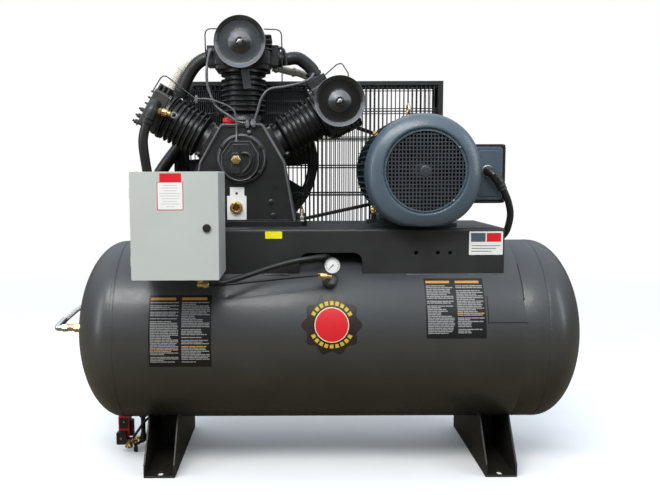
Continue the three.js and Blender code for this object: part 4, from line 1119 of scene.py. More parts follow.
def build_guard():
    x0, x1, z0, z1, y0, y1 = -562.0, 439.0, 742.0, 1323.0, 218.0, 350.0
    slant_x, slant_z = 70.0, 133.0
    outline = [(x1, z0), (x1, z1), (x0 + slant_x, z1), (x0, z1 - slant_z), (x0, z0)]
    inner = [(x1 - 3, z0 + 3), (x1 - 3, z1 - 3), (x0 + slant_x + 1.4, z1 - 3), (x0 + 3, z1 - slant_z - 1.2),
        (x0 + 3, z0 + 3)]
    lip = [(x1 - 16, z0 + 16), (x1 - 16, z1 - 16), (x0 + slant_x + 8, z1 - 16), (x0 + 16, z1 - slant_z - 7),
        (x0 + 16, z0 + 16)]
    shape = Shape()
    shape.add(plate(outline, y0 + 3, y1 - 3, [inner]))
    shape.add(plate(outline, y1 - 3.2, y1, [lip]))
    make("guard_casing", shape, DECK_BLACK, bevel=1.0, replaces="belt_guard_casing")
    face = Shape().add(plate(outline, y0, y0 + 3.2, [lip]))
    make("guard_front_frame", face, DECK_BLACK, bevel=1.0, replaces="belt_guard_front_grille")
    for label, y in (("front", y0 + 5.5), ("back", y1 - 6.5)):
        wires = Shape()
        x = x0 + 14.0
        while x < x1 - 6:
            top = z1 - 10
            if x < x0 + slant_x:
                top = z1 - slant_z + (x - x0) / slant_x * slant_z - 12
            wires.add(rod(2.0, z0 + 8, top, 8), at(x, y, 0))
            x += 15.9
        for row in (z0 + 20, 906, 1010, 1114, 1218, z1 - 18):
            for dz in (-4.5, 4.5):
                start = x0 + 10 if row + dz < z1 - slant_z else x0 + slant_x * (row + dz - z1 +
                    slant_z) / slant_z + 8
                wires.add(rod(1.8, start, x1 - 8, 8), at(0, y + 3.4, row + dz) @ ALONG_X)
        make("guard_wires_" + label, wires, DECK_BLACK)
    struts = Shape()
    for x in (-430, 330):
        struts.add(plate([(150, DECK_SEAT), (236, DECK_SEAT), (236, 811), (222, 811), (222, 846),
            (217.5, 846), (217.5, 811), (150, 811)], x, x + 34, plane="yz"))
        bolt(struts, (x + 17, 180, 811), UP, 14, 7)
    make("guard_brackets", struts, DECK_BLACK, bevel=0.8)


# ------------------------------------------------------------------ motor
def perforated(radius, pitch_x, pitch_z, bar, y0, y1):
    """A flat sheet with a grid of square holes, a little larger all round than the given radius."""
    def cuts(pitch):
        count = int(radius // pitch) + 1
        out = []
        for i in range(-count, count + 1):
            centre = (i + 0.5) * pitch
            out += [centre - bar / 2, centre + bar / 2]
        return out
    xs, zs = cuts(pitch_x), cuts(pitch_z)
    solid = {}
    for i in range(len(xs) - 1):
        for j in range(len(zs) - 1):
            cx, cz = (xs[i] + xs[i + 1]) / 2, (zs[j] + zs[j + 1]) / 2
            far = hypot(cx, cz)
            hole = i % 2 == 1 and j % 2 == 1 and far < radius - 2
            solid[i, j] = far < radius + 7 and not hole
    points, faces, index = [], [], {}

    def corner(i, j, side):
        if (i, j, side) not in index:
            index[i, j, side] = len(points)
            points.append((xs[i], (y0, y1)[side], zs[j]))
        return index[i, j, side]
    for (i, j), full in solid.items():
        if not full:
            continue
        ring_ids = [(i, j), (i + 1, j), (i + 1, j + 1), (i, j + 1)]
        faces.append([corner(a, b, 0) for a, b in ring_ids])
        faces.append([corner(a, b, 1) for a, b in reversed(ring_ids)])
        for (di, dj), (p, q) in (((0, -1), (0, 1)), ((1, 0), (1, 2)), ((0, 1), (2, 3)), ((-1, 0), (3, 0))):
            if not solid.get((i + di, j + dj)):
                a, b = ring_ids[p], ring_ids[q]
                faces.append([corner(*a, 0), corner(*a, 1), corner(*b, 1), corner(*b, 0)])
    return points, faces


def squared_foot(x, y, z, flat=171.0, power=2.3):
    """Fills out the lower half of the round cover and levels its foot."""
    far = hypot(x, y)
    if y > 0 or far < 150:
        return x, y, z
    grow = (abs(x / far) ** power + abs(y / far) ** power) ** (-1 / power)
    return x * grow, max(y * grow, -flat), z


def build_fan_cover():
    shape = Shape()
    outer = [(122, -291), (126.5, -291), (127.5, -287.5), (130.5, -287.5), (132, -294.5), (135, -296),
        (139, -295.5), (165, -284), (171, -279), (175, -271), (178, -260), (179.3, -246), (179.3, -212),
        (180.5, -210), (180.5, -206), (176, -205.5)]
    inner = [(174, -210), (174, -246), (171, -258), (164, -271), (152, -281), (138, -286), (128, -286),
        (122, -289)]
    points, faces = lathe(outer + inner, 120, closed=True)
    turned = [(x, z, y) for x, y, z in (squared_foot(*p) for p in points)]
    shape.add((turned, faces), COVER)
    shape.add(perforated(125, 10.95, 11.8, 3.7, -286.5, -284.5), COVER, 1)
    shape.add(lathe([(0, -284), (17, -284), (17, -287.5), (15, -288.5), (7, -288.5), (6, -290), (0, -290)],
        40), COVER @ ALONG_Y, 1)
    for k in range(4):
        shape.add(box(-13, 13, -289.4, -287, -1.2, 1.2), COVER @ spin(k * pi / 4), 1)
    make("fan_cover", shape, [BLUE, SHEET_GREY], replaces="motor_fan_cover", angle=40)


def build_fan_cover_screws():
    dots = Shape()
    for a in (0.60, -0.81):
        dots.add(lathe([(0, -296), (2.2, -295.6), (3.6, -294), (3.6, -289), (0, -289)], 20),
            COVER @ at(126 * cos(a), 0, 126 * sin(a)) @ ALONG_Y)
    make("fan_cover_rivets", dots, STEEL)
    screws = Shape()
    for k in range(4):
        a = radians(20 + 90 * k)
        direction = Vector((cos(a), 0, sin(a)))
        bolt(screws, COVER @ Vector((0, -222, 0)) + direction * 178.0, direction, 9, 4)
    make("fan_cover_screws", screws, BLUE, bevel=0.3)


def build_motor_frame():
    shape = Shape()
    barrel = [(124, -204), (160, -204), (160, -196), (153, -192), (153, 116), (160, 120), (160, 128),
        (124, 128)]
    shape.add(lathe(barrel, 120, closed=True), MOTOR @ ALONG_Y)
    for k in range(52):
        a = k / 52 * 2 * pi
        low = -pi / 2
        off = abs((a - low + pi) % (2 * pi) - pi)
        if off < 0.42 or abs(a) < 0.30 or abs(a - 2 * pi) < 0.30:
            continue
        fin = [(148, -2.6), (174.5, -1.4), (176, 0), (174.5, 1.4), (148, 2.6)]
        shape.add(plate(fin, -198, 122), MOTOR @ spin(-a))
    for side in (-1, 1):
        for y in (-115, 75):
            leg = [(side * 66, -136), (side * 84, -118), (side * 104, -108), (side * 116, -138),
                (side * 122, -144), (side * 122, -158), (side * 66, -158)]
            shape.add(plate(leg, y - 29, y + 29), MOTOR)
        shape.add(box(min(side * 80, side * 116), max(side * 80, side * 116), -90, 50, -152, -138), MOTOR)
    make("motor_frame", shape, DARK_BLUE, bevel=0.9, replaces="motor_stator_frame")


def build_motor_fittings():
    eye = Shape()
    place = at(MOTOR_X - 12, -45, MOTOR_Z + MOTOR_R)
    eye.add(hoop((0, 0, 26), 17, 5.2, 28, 12), place @ spin(pi / 2, "Z"))
    eye.add(lathe([(0, -10), (8, -10), (8, 0), (14, 0), (14, 4), (9, 7), (7, 14), (0, 14)], 24), place)
    make("motor_lifting_eye", eye, YELLOW_ZINC)
    plate_shape = Shape().add(slab((-30, 30, -20, 20, 3, 3), -1.0, 0.5, plane="xy"),
        MOTOR @ spin(0.55) @ at(0, -60, 177))
    make("motor_plate", plate_shape, ALUMINIUM)
    lugs = Shape()
    for side in (-1, 1):
        bolt(lugs, (MOTOR_X + side * 138, -196, MOTOR_Z + 112), (side * 0.5, -0.3, 0.7), 12, 8, True, 6)
        bolt(lugs, (MOTOR_X + side * 142, -196, MOTOR_Z - 128), (side * 0.5, -0.6, 0.4), 12, 8, True, 6)
    make("motor_frame_lugs", lugs, BRASS, bevel=0.4)
    feet = Shape()
    for side in (-1, 1):
        for y in (-115, 75):
            bolt(feet, (MOTOR_X + side * 114, y, MOTOR_Z - 144), UP, 17, 13, True, 12)
    make("motor_foot_bolts", feet, STEEL, bevel=0.4)


def build_motor_rear():
    shape = Shape()
    shape.add(lathe([(22.3, 142), (120, 142), (140, 130), (150, 128.5), (170, 128.5), (170, 139),
        (150, 146), (122, 162), (80, 165), (60, 171), (34, 172), (22.3, 172)], 96, closed=True),
        MOTOR @ ALONG_Y)
    for k in range(8):
        a = k / 8 * 2 * pi + 0.2
        shape.add(box(60, 128, 158, 166, -4, 4), MOTOR @ spin(-a))
    make("motor_bell", shape, BLUE, bevel=0.8, replaces="motor_end_bell")
    screws = Shape()
    for k in range(4):
        a = pi / 4 + k * pi / 2
        bolt(screws, (MOTOR_X + 160 * cos(a), 142, MOTOR_Z + 160 * sin(a)), BACK, 13, 8)
    make("motor_bell_screws", screws, STEEL, bevel=0.4)


def build_motor_base():
    rails = Shape()
    for y in (-115, 75):
        rails.add(slab((-138, 138, y - 26, y + 26, 5, 3), DECK_SEAT, 819, plane="xy"), at(MOTOR_X, 0, 0))
        for side in (-1, 1):
            rails.add(slab((side * 96 - 26, side * 96 + 26, y - 26, y + 26, 5, 3), 818, 834.6, plane="xy"),
                at(MOTOR_X, 0, 0))
    rails.add(box(-14, 14, -115, 75, DECK_SEAT, 817), at(MOTOR_X, 0, 0))
    make("motor_rails", rails, DECK_BLACK, bevel=1.2, replaces="motor_base")
    bolts = Shape()
    for x in (-74, 74):
        for y in (-115, 75):
            bolt(bolts, (MOTOR_X + x, y, 819), UP, 13, 7)
    make("motor_rail_bolts", bolts, STEEL, bevel=0.4)


def build_junction_box():
    left, right = MOTOR_R + 6, MOTOR_R + 114
    shape = Shape()
    body = rounded_rectangle(left, right, -106, 80, 12, 4)
    shape.add(plate(body, -126, 0), MOTOR)
    shape.add(box(MOTOR_R - 16, left + 4, -104, -44, -28, 28), MOTOR)
    lid = rounded_rectangle(left - 3, right + 2, -109, 83, 14, 5)
    shape.add(plate(lid, -142, -129), MOTOR, 1)
    make("motor_terminal_box", shape, [DARK_BLUE, SMOOTH_CAST], bevel=2.0, segments=3,
        replaces="junction_box")
    face = Shape()
    face.add(slab((left + 6, right - 9, -98, 74, 9, 5), -148, -141), MOTOR)
    face.add(slab((left + 18, right - 20, -86, 62, 7, 4), -151, -147), MOTOR)
    make("terminal_box_lid", face, BLUE, bevel=2.6, segments=4)
    gasket = Shape().add(slab((left + 1, right - 2, -105, 79, 12, 4), -129.2, -125.8), MOTOR)
    make("terminal_box_gasket", gasket, RUBBER)
    screws = Shape()
    for x in (left + 5, right - 6):
        for z in (-102, 76):
            bolt(screws, MOTOR @ Vector((x, -142, z)), FRONT, 8, 4)
    make("terminal_box_screws", screws, SMOOTH_CAST, bevel=0.3)


def build_cable():
    left = MOTOR_R + 6
    gland = Shape()
    place = MOTOR @ at(left + 49, -150, -5) @ FACING_FRONT
    gland.add(lathe([(15, 0), (20, 0), (20, 4), (18, 6), (15, 6)], 36, closed=True), place, 1)
    gland.add(hexagon(29, 0, 12, 1.5), place, 0)
    gland.add(lathe([(0, 10), (14, 10), (14, 17), (12.5, 19), (0, 19)], 24), place, 0)
    relief = curve([(514, -168, 988), (516, -178, 985), (528, -184, 974), (546, -182, 950),
        (556, -180, 930)], 6)
    gland.add(tube(relief, [15 + 1.2 * sin(i * 1.9) for i in range(len(relief))], 24), None, 0)
    make("cable_gland", gland, [PLASTIC, STEEL], bevel=0.4)
    cable = [(550, -182, 944), (566, -178, 916), (582, -168, 880), (590, -156, 840), (582, -140, 790),
        (560, -122, 764), (535, -112, 764)]
    make("motor_lead", Shape().add(tube(curve(cable, 8), 11, 20)), RUBBER, replaces="motor_cable")


# ------------------------------------------------------------------ pipes and hoses
def ribbed(path, radius, depth, pitch=9.0):
    travelled, radii = 0.0, []
    for i, p in enumerate(path):
        if i:
            travelled += (Vector(p) - Vector(path[i - 1])).length
        radii.append(radius + depth * sin(travelled / pitch * 2 * pi))
    return radii


def build_intercoolers():
    left = curve([(-393, 46, 1383), (-412, 46, 1382), (-438, 48, 1371), (-463, 50, 1348), (-485, 53, 1314),
        (-502, 55, 1278), (-514, 58, 1250)], 12)
    right = curve([(-168, 44, 1376), (-150, 44, 1376), (-135, 44, 1377), (-112, 50, 1381), (-88, 58, 1376),
        (-52, 64, 1346), (-42, 66, 1320)], 12)
    for name, path in (("left", left), ("right", right)):
        sleeve = Shape().add(tube(path, ribbed(path, 22, 0.35), 40))
        for end, inner in ((path[0], path[2]), (path[-1], path[-3])):
            direction = Vector(inner) - Vector(end)
            sleeve.add(lathe([(22, 4), (27, 4), (27, 16), (22, 16)], 40, closed=True),
                towards(end, direction))
        make("intercooler_" + name, sleeve, SLEEVE, replaces="intercooler_pipe_" + name)


def build_ducts():
    ducts = {"left": [(-405, 98, 1396), (-429, 100, 1393), (-458, 100, 1382), (-491, 100, 1364),
        (-517, 98, 1338), (-535, 92, 1306), (-548, 80, 1274)], "right": [(-190, 110, 1357),
        (-164, 110, 1353), (-129, 110, 1344), (-93, 110, 1337), (-60, 108, 1322)],}
    for name, points in ducts.items():
        path = curve(points, 30)
        duct = Shape().add(tube(path, ribbed(path, 13, 0.8, 6.0), 28))
        for i in (len(path) // 7, len(path) * 3 // 5):
            duct.add(rod(16.5, -6, 6, 32, 2), towards(path[i], path[i + 1] - path[i]))
        make("breather_duct_" + name, duct, BEIGE)


def build_sensing_lines():
    loops = Shape()
    lines = [[(-362, -60, 1461), (-408, -60, 1461), (-408, -50, 1384), (-404, 0, 1360)],
        [(-212, -60, 1459), (-154, -60, 1457), (-153, -58, 1365), (-153, -50, 1262), (-150, 40, 1250)],
        [(-582, -74, 1256), (-545, -80, 1313), (-452, -80, 1240), (-437, -80, 1230)],
        [(-24, -70, 1296), (28, -86, 1340), (44, -86, 1344), (66, -96, 1308), (64, -96, 1290)],
        [(-176, 20, 1412), (-150, 20, 1410), (-142, 20, 1380), (-140, 24, 1352)],]
    for index, line in enumerate(lines):
        loops.add(tube(bends(line, 22, 6), 5.5 if index == 4 else 2.1, 12))
    make("sensing_lines", loops, DARK_TUBE)


def build_unloader_lines():
    lines = {"left": [(-392, 0, 1398), (-396, -40, 1386), (-402, -70, 1332), (-401, -72, 1281),
        (-389, -76, 1241), (-371, -80, 1205), (-330, -86, 1175), (-299, -89, 1154), (-268, -89, 1149)],
        "right": [(-48, -20, 1318), (-60, -50, 1298), (-94, -70, 1281), (-144, -80, 1269),
        (-195, -84, 1260), (-221, -88, 1230), (-234, -90, 1189), (-247, -90, 1150)],}
    for name, points in lines.items():
        shape = Shape().add(tube(curve(points, 10), 4.6, 14))
        make("unloader_tube_" + name, shape, GREY_TUBE, replaces="unloader_line_" + name)
    third = Shape().add(tube(curve([(-437, -82, 1230), (-391, -92, 1227), (-329, -97, 1204),
        (-306, -99, 1176), (-304, -100, 1120), (-304, -112, 1087)], 10), 3.0, 14))
    make("unloader_tube_front", third, GREY_TUBE)
    ends = Shape()
    for centre, direction, width in (((-390, -4, 1398), (-0.6, -1, 0), 15), ((-268, -89, 1140), UP, 15),
            ((-247, -90, 1142), (-0.2, 0, 1), 17), ((-437, -80, 1222), UP, 13),
            ((-262, -84, 1120), FRONT, 12), ((-304, -104, 1080), UP, 11)):
        ends.add(hexagon(width, 0, 15, 1.2), towards(centre, direction))
        ends.add(rod(width * 0.34, -6, 20, 20, 0.8), towards(centre, direction))
    make("unloader_fittings", ends, GREY_METAL_AND_EDGE_HIGHLIGHT, bevel=0.4)


def hose_end(shape, centre, direction, width, length):
    """A hexagon and a crimped ferrule at a hose's end."""
    place = towards(centre, direction)
    shape.add(hexagon(width, 0, length * 0.35, 1.2), place)
    ferrule = [(0, length * 0.3)]
    for i in range(5):
        z = length * (0.35 + 0.12 * i)
        ferrule += [(width * 0.56, z), (width * 0.5, z + length * 0.05)]
    ferrule.append((0, length))
    shape.add(lathe(ferrule, 28), place)


def build_delivery_hose():
    points = [(-577, -56, 1212), (-577, -70, 1212), (-579, -82, 1208), (-588, -92, 1184), (-602, -94, 1146),
        (-614, -92, 1095), (-611, -80, 1030), (-602, -60, 960), (-590, -10, 905), (-560, 70, 885),
        (-520, 150, 915), (-465, 185, 1000), (-428, 197, 1080), (-422, 199, 1119)]
    path = curve(points, 8)
    shape = Shape().add(tube(path, 16, 28))
    elbow = [(-577, -57, 1212), (-577, -76, 1211), (-583, -91, 1194), (-594, -94, 1164)]
    shape.add(tube(curve(elbow, 6), 20, 28))
    shape.add(lathe([(16, 0), (22, 0), (22, 12), (16, 12)], 36, closed=True),
        towards((-600, -94, 1150), (0.35, 0, 1)))
    make("delivery_hose", shape, SLEEVE, replaces="discharge_hose")


def build_cooler():
    cooler = Shape()
    for z in (1160, 1203, 1246):
        cooler.add(rod(9, -506, -66, 24, 2), at(0, 200, z) @ ALONG_X)
    for i in range(63):
        x = -502 + i * 6.9
        cooler.add(box(x, x + 2.4, 186, 211, 1119.5, 1288), None, 1)
    cooler.add(box(-504, -66, 212, 213.5, 1119.5, 1288))
    cooler.add(box(-508, -64, 184, 214, 1117, 1121))
    cooler.add(box(-508, -64, 184, 214, 1284, 1290))
    for z0 in (-508, -69):
        cooler.add(box(z0, z0 + 5, 184, 214, 1117, 1290))
    outlet = curve([(-462, 190, 1155), (-500, 189, 1128), (-545, 188, 1075), (-611, 188, 985),
        (-660, 200, 880), (-692, 225, 765), (-718, 252, 672)], 10)
    cooler.add(tube(outlet, 23, 36))
    make("finned_cooler", cooler, [CAST, FIN_EDGE], replaces="aftercooler")


def build_tank_hose():
    braid_points = [(-719, 254, 664), (-748, 286, 612), (-800, 262, 562), (-850, 190, 532),
        (-897, 104, 499), (-932, 30, 466), (-942, 8, 455)]
    braid = Shape().add(tube(curve(braid_points, 10), 8.5, 28))
    make("tank_braided_hose", braid, BRAID, replaces="tank_inlet_hose")
    ends = Shape()
    ends.add(tube(curve([(-930, 34, 470), (-943, 8, 454), (-946, -2, 447), (-934, -2, 446), (-896, 0, 446)],
        6), 11, 24), None, 1)
    ends.add(hexagon(25, 0, 18, 1.5), towards((-912, 0, 446), LEFT), 1)
    ends.add(hexagon(29, 0, 30, 1.5), towards((-858, 0, 446), LEFT), 0)
    ends.add(rod(12, 0, 70, 24, 1), towards((-840, 0, 446), LEFT), 0)
    hose_end(ends, (-716, 250, 676), (-0.24, 0.33, -1), 32, 40)
    make("tank_hose_ends", ends, [BRASS, STEEL], bevel=0.4)


def build_control_hose():
    points = [(-352, -330, 675.5), (-352, -330, 660), (-338, -326, 650), (-306, -312, 656),
        (-254, -292, 670), (-190, -268, 689), (-120, -250, 706), (-58, -240, 715), (-12, -205, 719),
        (10, -150, 724)]
    shape = Shape().add(tube(curve(points, 8), 8.6, 20))
    make("conduit_hose", shape, SLEEVE, replaces="control_hose")
    thin = [(-374, -330, 645), (-352, -328, 643), (-318, -322, 645), (-250, -312, 651), (-126, -298, 662),
        (-34, -290, 669)]
    make("pressure_line", Shape().add(tube(curve(thin, 8), 4.2, 16)), RUBBER)
    elbow = Shape()
    elbow.add(rod(8.5, 0, 34, 24, 1), towards((-402, -330, 676), DOWN))
    elbow.add(hexagon(21, 8, 20), towards((-402, -330, 676), DOWN))
    elbow.add(rod(9.5, 0, 36, 24, 1), towards((-411, -330, 647), (1, 0, -0.03)))
    elbow.add(hexagon(19, 20, 32), towards((-411, -330, 647), (1, 0, -0.03)))
    elbow.add(hexagon(24, 0, 11), towards((-352, -330, 676), DOWN))
    make("box_elbow", elbow, BRASS, bevel=0.5)


# ------------------------------------------------------------------ control box
def build_control_box():
    x0, x1, z0, z1 = BOX
    back, lip = BOX_BACK, -436.0
    shape = Shape()
    outer = rounded_rectangle(x0, x1, z0, z1, 4, 4)
    inner = rounded_rectangle(x0 + 2, x1 - 2, z0 + 2, z1 - 2, 3, 4)
    shape.add(plate(outer, lip, back, [inner]))
    shape.add(plate(inner, back - 2.5, back - 0.3))
    edge = rounded_rectangle(x0 + 16, x1 - 16, z0 + 16, z1 - 16, 3, 4)
    shape.add(plate(inner, lip, lip + 2, [edge]))
    make("control_enclosure", shape, GREY, bevel=0.8, segments=3, replaces="control_box")
    gasket = Shape().add(slab((x0 + 8, x1 - 8, z0 + 8, z1 - 8, 3, 4), lip - 2.2, lip - 0.1, [edge]))
    make("enclosure_gasket", gasket, RUBBER)
    brackets = Shape()
    for x in (x0 + 40, x1 - 40):
        brackets.add(box(x - 10, x + 10, back - 0.5, -215.4, z0 + 24, z0 + 104))
        bolt(brackets, (x, back - 2.5, z0 + 64), FRONT, 11, 6)
    make("enclosure_brackets", brackets, DECK_BLACK, bevel=1.0)


def build_box_fittings():
    x0, x1, z0, z1 = BOX
    back = BOX_BACK
    inside = Shape()
    inside.add(box(x0 + 14, x1 - 14, back - 5, back - 3, z0 + 20, z1 - 20))
    for x in (x0 + 22, x1 - 40):
        inside.add(box(x, x + 18, back - 45, back - 5, z0 + 30, z1 - 30), slot=1)
        for i in range(20):
            z = z0 + 36 + i * 12
            inside.add(box(x - 1.2, x + 19.2, back - 44, back - 12, z, z + 5), slot=1)
    inside.add(box(-510, -410, back - 12, back - 5, 842, 877))
    for i in range(6):
        inside.add(box(-512 + i * 18, -497 + i * 18, back - 40, back - 5, 700, 738), slot=1)
        inside.add(rod(3.2, 0, 2, 16), towards((-504.5 + i * 18, back - 40, 719), FRONT), 2)
    make("enclosure_fittings", inside, [ALUMINIUM, GREY_TUBE, BRASS], bevel=0.4)


def build_starter():
    starter = Shape()
    base = BOX_BACK - 3.3
    starter.add(box(-505, -415, base - 78, base - 2, 806, 916))
    starter.add(box(-498, -422, base - 92, base - 76, 826, 896))
    starter.add(box(-500, -420, base - 66, base - 2, 748, 806.5))
    starter.add(box(-470, -450, base - 96, base - 91, 846, 876), slot=1)
    for i in range(3):
        x = -488 + i * 28
        for z, y in ((908, 78), (814, 78), (757, 66)):
            starter.add(rod(5.5, 0, 2.2, 20, 0.4), towards((x, base - y, z), FRONT), 2)
    starter.add(rod(5, 0, 8, 20, 1), towards((-440, base - 66, 776), FRONT), 3)
    make("contactor", starter, [PLASTIC, GREY_TUBE, BRASS, RED], bevel=1.2, replaces="motor_starter")
    wires = Shape()
    for i in range(3):
        x = -488 + i * 28
        wires.add(tube(curve([(x, base - 80, 914), (x, base - 84, 934), (x + 10, base - 60, 948),
            (-392 + i * 5, base - 34, 940 - i * 6), (-388 + i * 5, base - 30, 900)], 8), 2.6, 10))
        wires.add(tube(curve([(x, base - 68, 752), (x, base - 70, 742), (x - 4, base - 50, 736),
            (x - 8, base - 42, 730)], 6), 2.6, 10))
    make("enclosure_wires", wires, RUBBER)


def build_door():
    x0, x1, z0, z1 = BOX
    front, back = DOOR_FRONT, -436.3
    shape = Shape()
    face = rounded_rectangle(x0, x1, z0, z1, 4, 4)
    hole = ring(7.5, 24, (-365, 827))
    shape.add(plate(face, front, front + 2.2, [hole]))
    inner = rounded_rectangle(x0 + 2, x1 - 2, z0 + 2, z1 - 2, 3, 4)
    shape.add(plate(face, front + 2.2, back, [inner]))
    make("door_panel", shape, GREY, body="box_door", bevel=1.4, segments=3, replaces="control_box_door")
    knuckles = Shape()
    for z in (z0 + 40, z1 - 76):
        knuckles.add(rod(2.2, z, z + 30, 16, 0.4), at(x0 - 1.4, -440, 0))
    make("door_hinges", knuckles, GREY, body="box_door")


def build_door_label():
    front = DOOR_FRONT
    label = Shape()
    label.add(slab((-506, -431, 879, 960, 1.5, 2), front - 0.4, front + 0.2))
    label.add(slab((-498, -436, 960, 984, 1.5, 2), front - 0.5, front + 0.2), slot=1)
    label.add(slab((-506, -431, 879, 960, 1.5, 2), front - 0.6, front - 0.3,
        [rounded_rectangle(-504, -433, 881, 958, 1, 2)]), slot=1)
    for i, half in enumerate((20, 25, 18, 31, 29, 24, 20, 26, 12)):
        label.add(box(-468.5 - half, -468.5 + half, front - 0.6, front - 0.3, 949 - i * 7.6,
            950.6 - i * 7.6), slot=2)
    make("door_label", label, [WHITE, RED_VINYL, FAINT_INK], body="box_door")


def build_latch():
    latch = Shape()
    place = at(-365, DOOR_FRONT - 0.3, 827) @ FACING_FRONT
    latch.add(lathe([(0, 0), (12, 0), (12, 4), (10.5, 6.5), (5, 7), (0, 7)], 32), place, 0)
    # A dark bar on the knob's face: painted shade in its slot.
    latch.add(box(-8, 8, -1.3, 1.3, 6.4, 7.6), place @ spin(0.8, "Z"), 1)
    latch.add(rod(5.2, -22, 1, 20), place, 2)
    latch.add(box(-5, 24, -6, 6, -21.5, -18), place, 2)
    make("latch_turn", latch, [PLASTIC, BLACK_PRINT_AND_PAINTED_SHADE, STEEL], body="latch", bevel=0.4, replaces="door_latch")


# ------------------------------------------------------------------ gauge, valves and drain
def build_gauge():
    place = at(4, 0, 697)
    front = place @ FACING_FRONT
    shape = Shape()
    shape.add(lathe([(0, 264), (25, 264), (26, 266), (26, 287), (25.6, 290), (24.6, 290.5), (23.8, 289),
        (23.8, 283.5), (0, 283.5)], 64), front, 0)
    shape.add(rod(7, 0, 13, 20, 1), towards((4, -277, 674), DOWN), 1)
    shape.add(hexagon(15, 4, 12), towards((4, -277, 674), DOWN), 1)
    make("gauge_case", shape, [PLASTIC, GREY_METAL_AND_EDGE_HIGHLIGHT], replaces="pressure_gauge")
    dial = Shape().add(rod(23.6, 283.0, 285.4, 64), front, 0)
    for i in range(51):
        a = radians(225 - 270 * i / 50)
        inner = 16.0 if i % 5 == 0 else 18.2
        width = 0.45 if i % 5 == 0 else 0.22
        mark = box(inner, 20.4, 285.2, 285.7, -width, width)
        points = [(p[0], -p[1], p[2]) for p in mark[0]]
        dial.add((points, mark[1]), place @ spin(-a), 1)
    make("gauge_dial", dial, [DIAL_WHITE, BLACK_PRINT_AND_PAINTED_SHADE])
    lens = Shape().add(lathe([(0, 288.6), (23.6, 288.6), (23.6, 289.3), (0, 289.3)], 48), front)
    make("gauge_lens", lens, LENS)
    hand = Shape()
    hand.add(lathe([(0, 285.5), (2.4, 285.5), (2.4, 287), (1.6, 287.8), (0, 287.8)], 20), front)
    pointer = plate([(-6, -1.0), (0, -1.3), (18, -0.35), (18, 0.35), (0, 1.3), (-6, 1.0)], -287.2, -286.4)
    hand.add(pointer, place @ spin(-1.25 * pi))
    make("gauge_hand", hand, BLACK_PRINT_AND_PAINTED_SHADE, body="needle", replaces="gauge_needle")


def build_gauge_cross():
    cross = Shape()
    cross.add(rod(9, -22, 0, 24, 1), at(4, -277, 661), 0)
    cross.add(hexagon(19, -12, 0), at(4, -277, 661), 0)
    cross.add(hexagon(24, 0, 12), towards((0, -262, 646), (0, -1, 0.2)), 0)
    cross.add(rod(9, 0, 40, 24), towards((0, -277, 648), (0, 1, -0.1)), 0)
    cross.add(rod(8, 0, 26, 20, 1), towards((2, -282, 662), (-1, -0.1, 0.12)), 1)
    cross.add(hexagon(17, 16, 34), towards((2, -282, 662), (-1, -0.1, 0.12)), 1)
    cross.add(hexagon(14, 34, 44), towards((2, -282, 662), (-1, -0.1, 0.12)), 1)
    make("gauge_cross", cross, [GREY_METAL_AND_EDGE_HIGHLIGHT, BRASS], bevel=0.6, replaces="gauge_manifold")


def build_safety_valve():
    place = at(-562, -82, 1191) @ spin(0.28)
    shape = Shape()
    shape.add(hexagon(19, -8, 9, 1.2), place @ ALONG_X)
    shape.add(lathe([(0, 8), (9, 8), (10, 10), (13, 12), (13.4, 14), (13.4, 28), (12, 31), (9, 34), (9, 39),
        (7.5, 42), (3.2, 42), (3.2, 30), (0, 30)], 40), place @ ALONG_X)
    for z in (17, 21, 25):
        shape.add(lathe([(13, z), (14, z + 0.8), (13, z + 1.6)], 40, closed=True), place @ ALONG_X)
    shape.add(rod(7.5, 0, 24, 24), place @ at(2, 0, 0) @ ALONG_Y)
    shape.add(hexagon(18, 12, 22), place @ at(2, 0, 0) @ ALONG_Y)
    make("relief_valve", shape, BRASS, bevel=0.4, replaces="safety_valve_body")
    pull = Shape()
    pull.add(rod(2, 30, 44, 16), place @ ALONG_X)
    pull.add(hoop((51.5, 0, 0), 8.8, 1.5, 30, 10), place)
    make("relief_pull_ring", pull, STEEL, body="relief_ring", replaces="safety_valve_ring")


def build_drain():
    x, z = DRAIN_X, DRAIN_Z
    line = Shape()
    line.add(rod(8, z + 4, 150, 24), at(x, 0, 0), 1)
    line.add(hexagon(24, 124, 136), at(x, 0, 0), 1)
    line.add(tube(bends([(x, 0, z + 26), (x, 0, z), (x - 20, 0, z)], 14, 6), 10.5, 24), None, 1)
    line.add(hexagon(28, 0, 22), towards((x - 13, 0, z), LEFT), 0)
    line.add(rod(11, 0, 26, 24), towards((-692, 0, z), LEFT), 0)
    line.add(lathe([(0, 10), (9, 10), (12, 13), (12, 30), (14, 31), (14, 40), (0, 42)], 32), at(-706, 0, 0),
        0)
    for k in range(3):
        fan = (-0.5 + 0.5 * k, -0.5, -1)
        line.add(rod(3.2, 0, 21, 14, 0.8), towards((-708, -8, z - 4), fan), 0)
    line.add(rod(7, 0, 3, 20), towards((-679, -14, z), FRONT), 0)
    make("drain_line", line, [BRASS, SMOOTH_CAST], bevel=0.4, replaces="drain_valve_body")
    lever = Shape()
    lever.add(hexagon(9, 0, 4), towards((-679, -19, z), FRONT), 1)
    lever.add(box(-685, -673, -21.5, -18.5, 4, z + 6))
    lever.add(box(-686, -672, -23, -17.5, 3, 22))
    make("drain_handle", lever, [PLASTIC, STEEL], body="drain_lever", bevel=1.2, segments=3,
        replaces="drain_valve_lever")


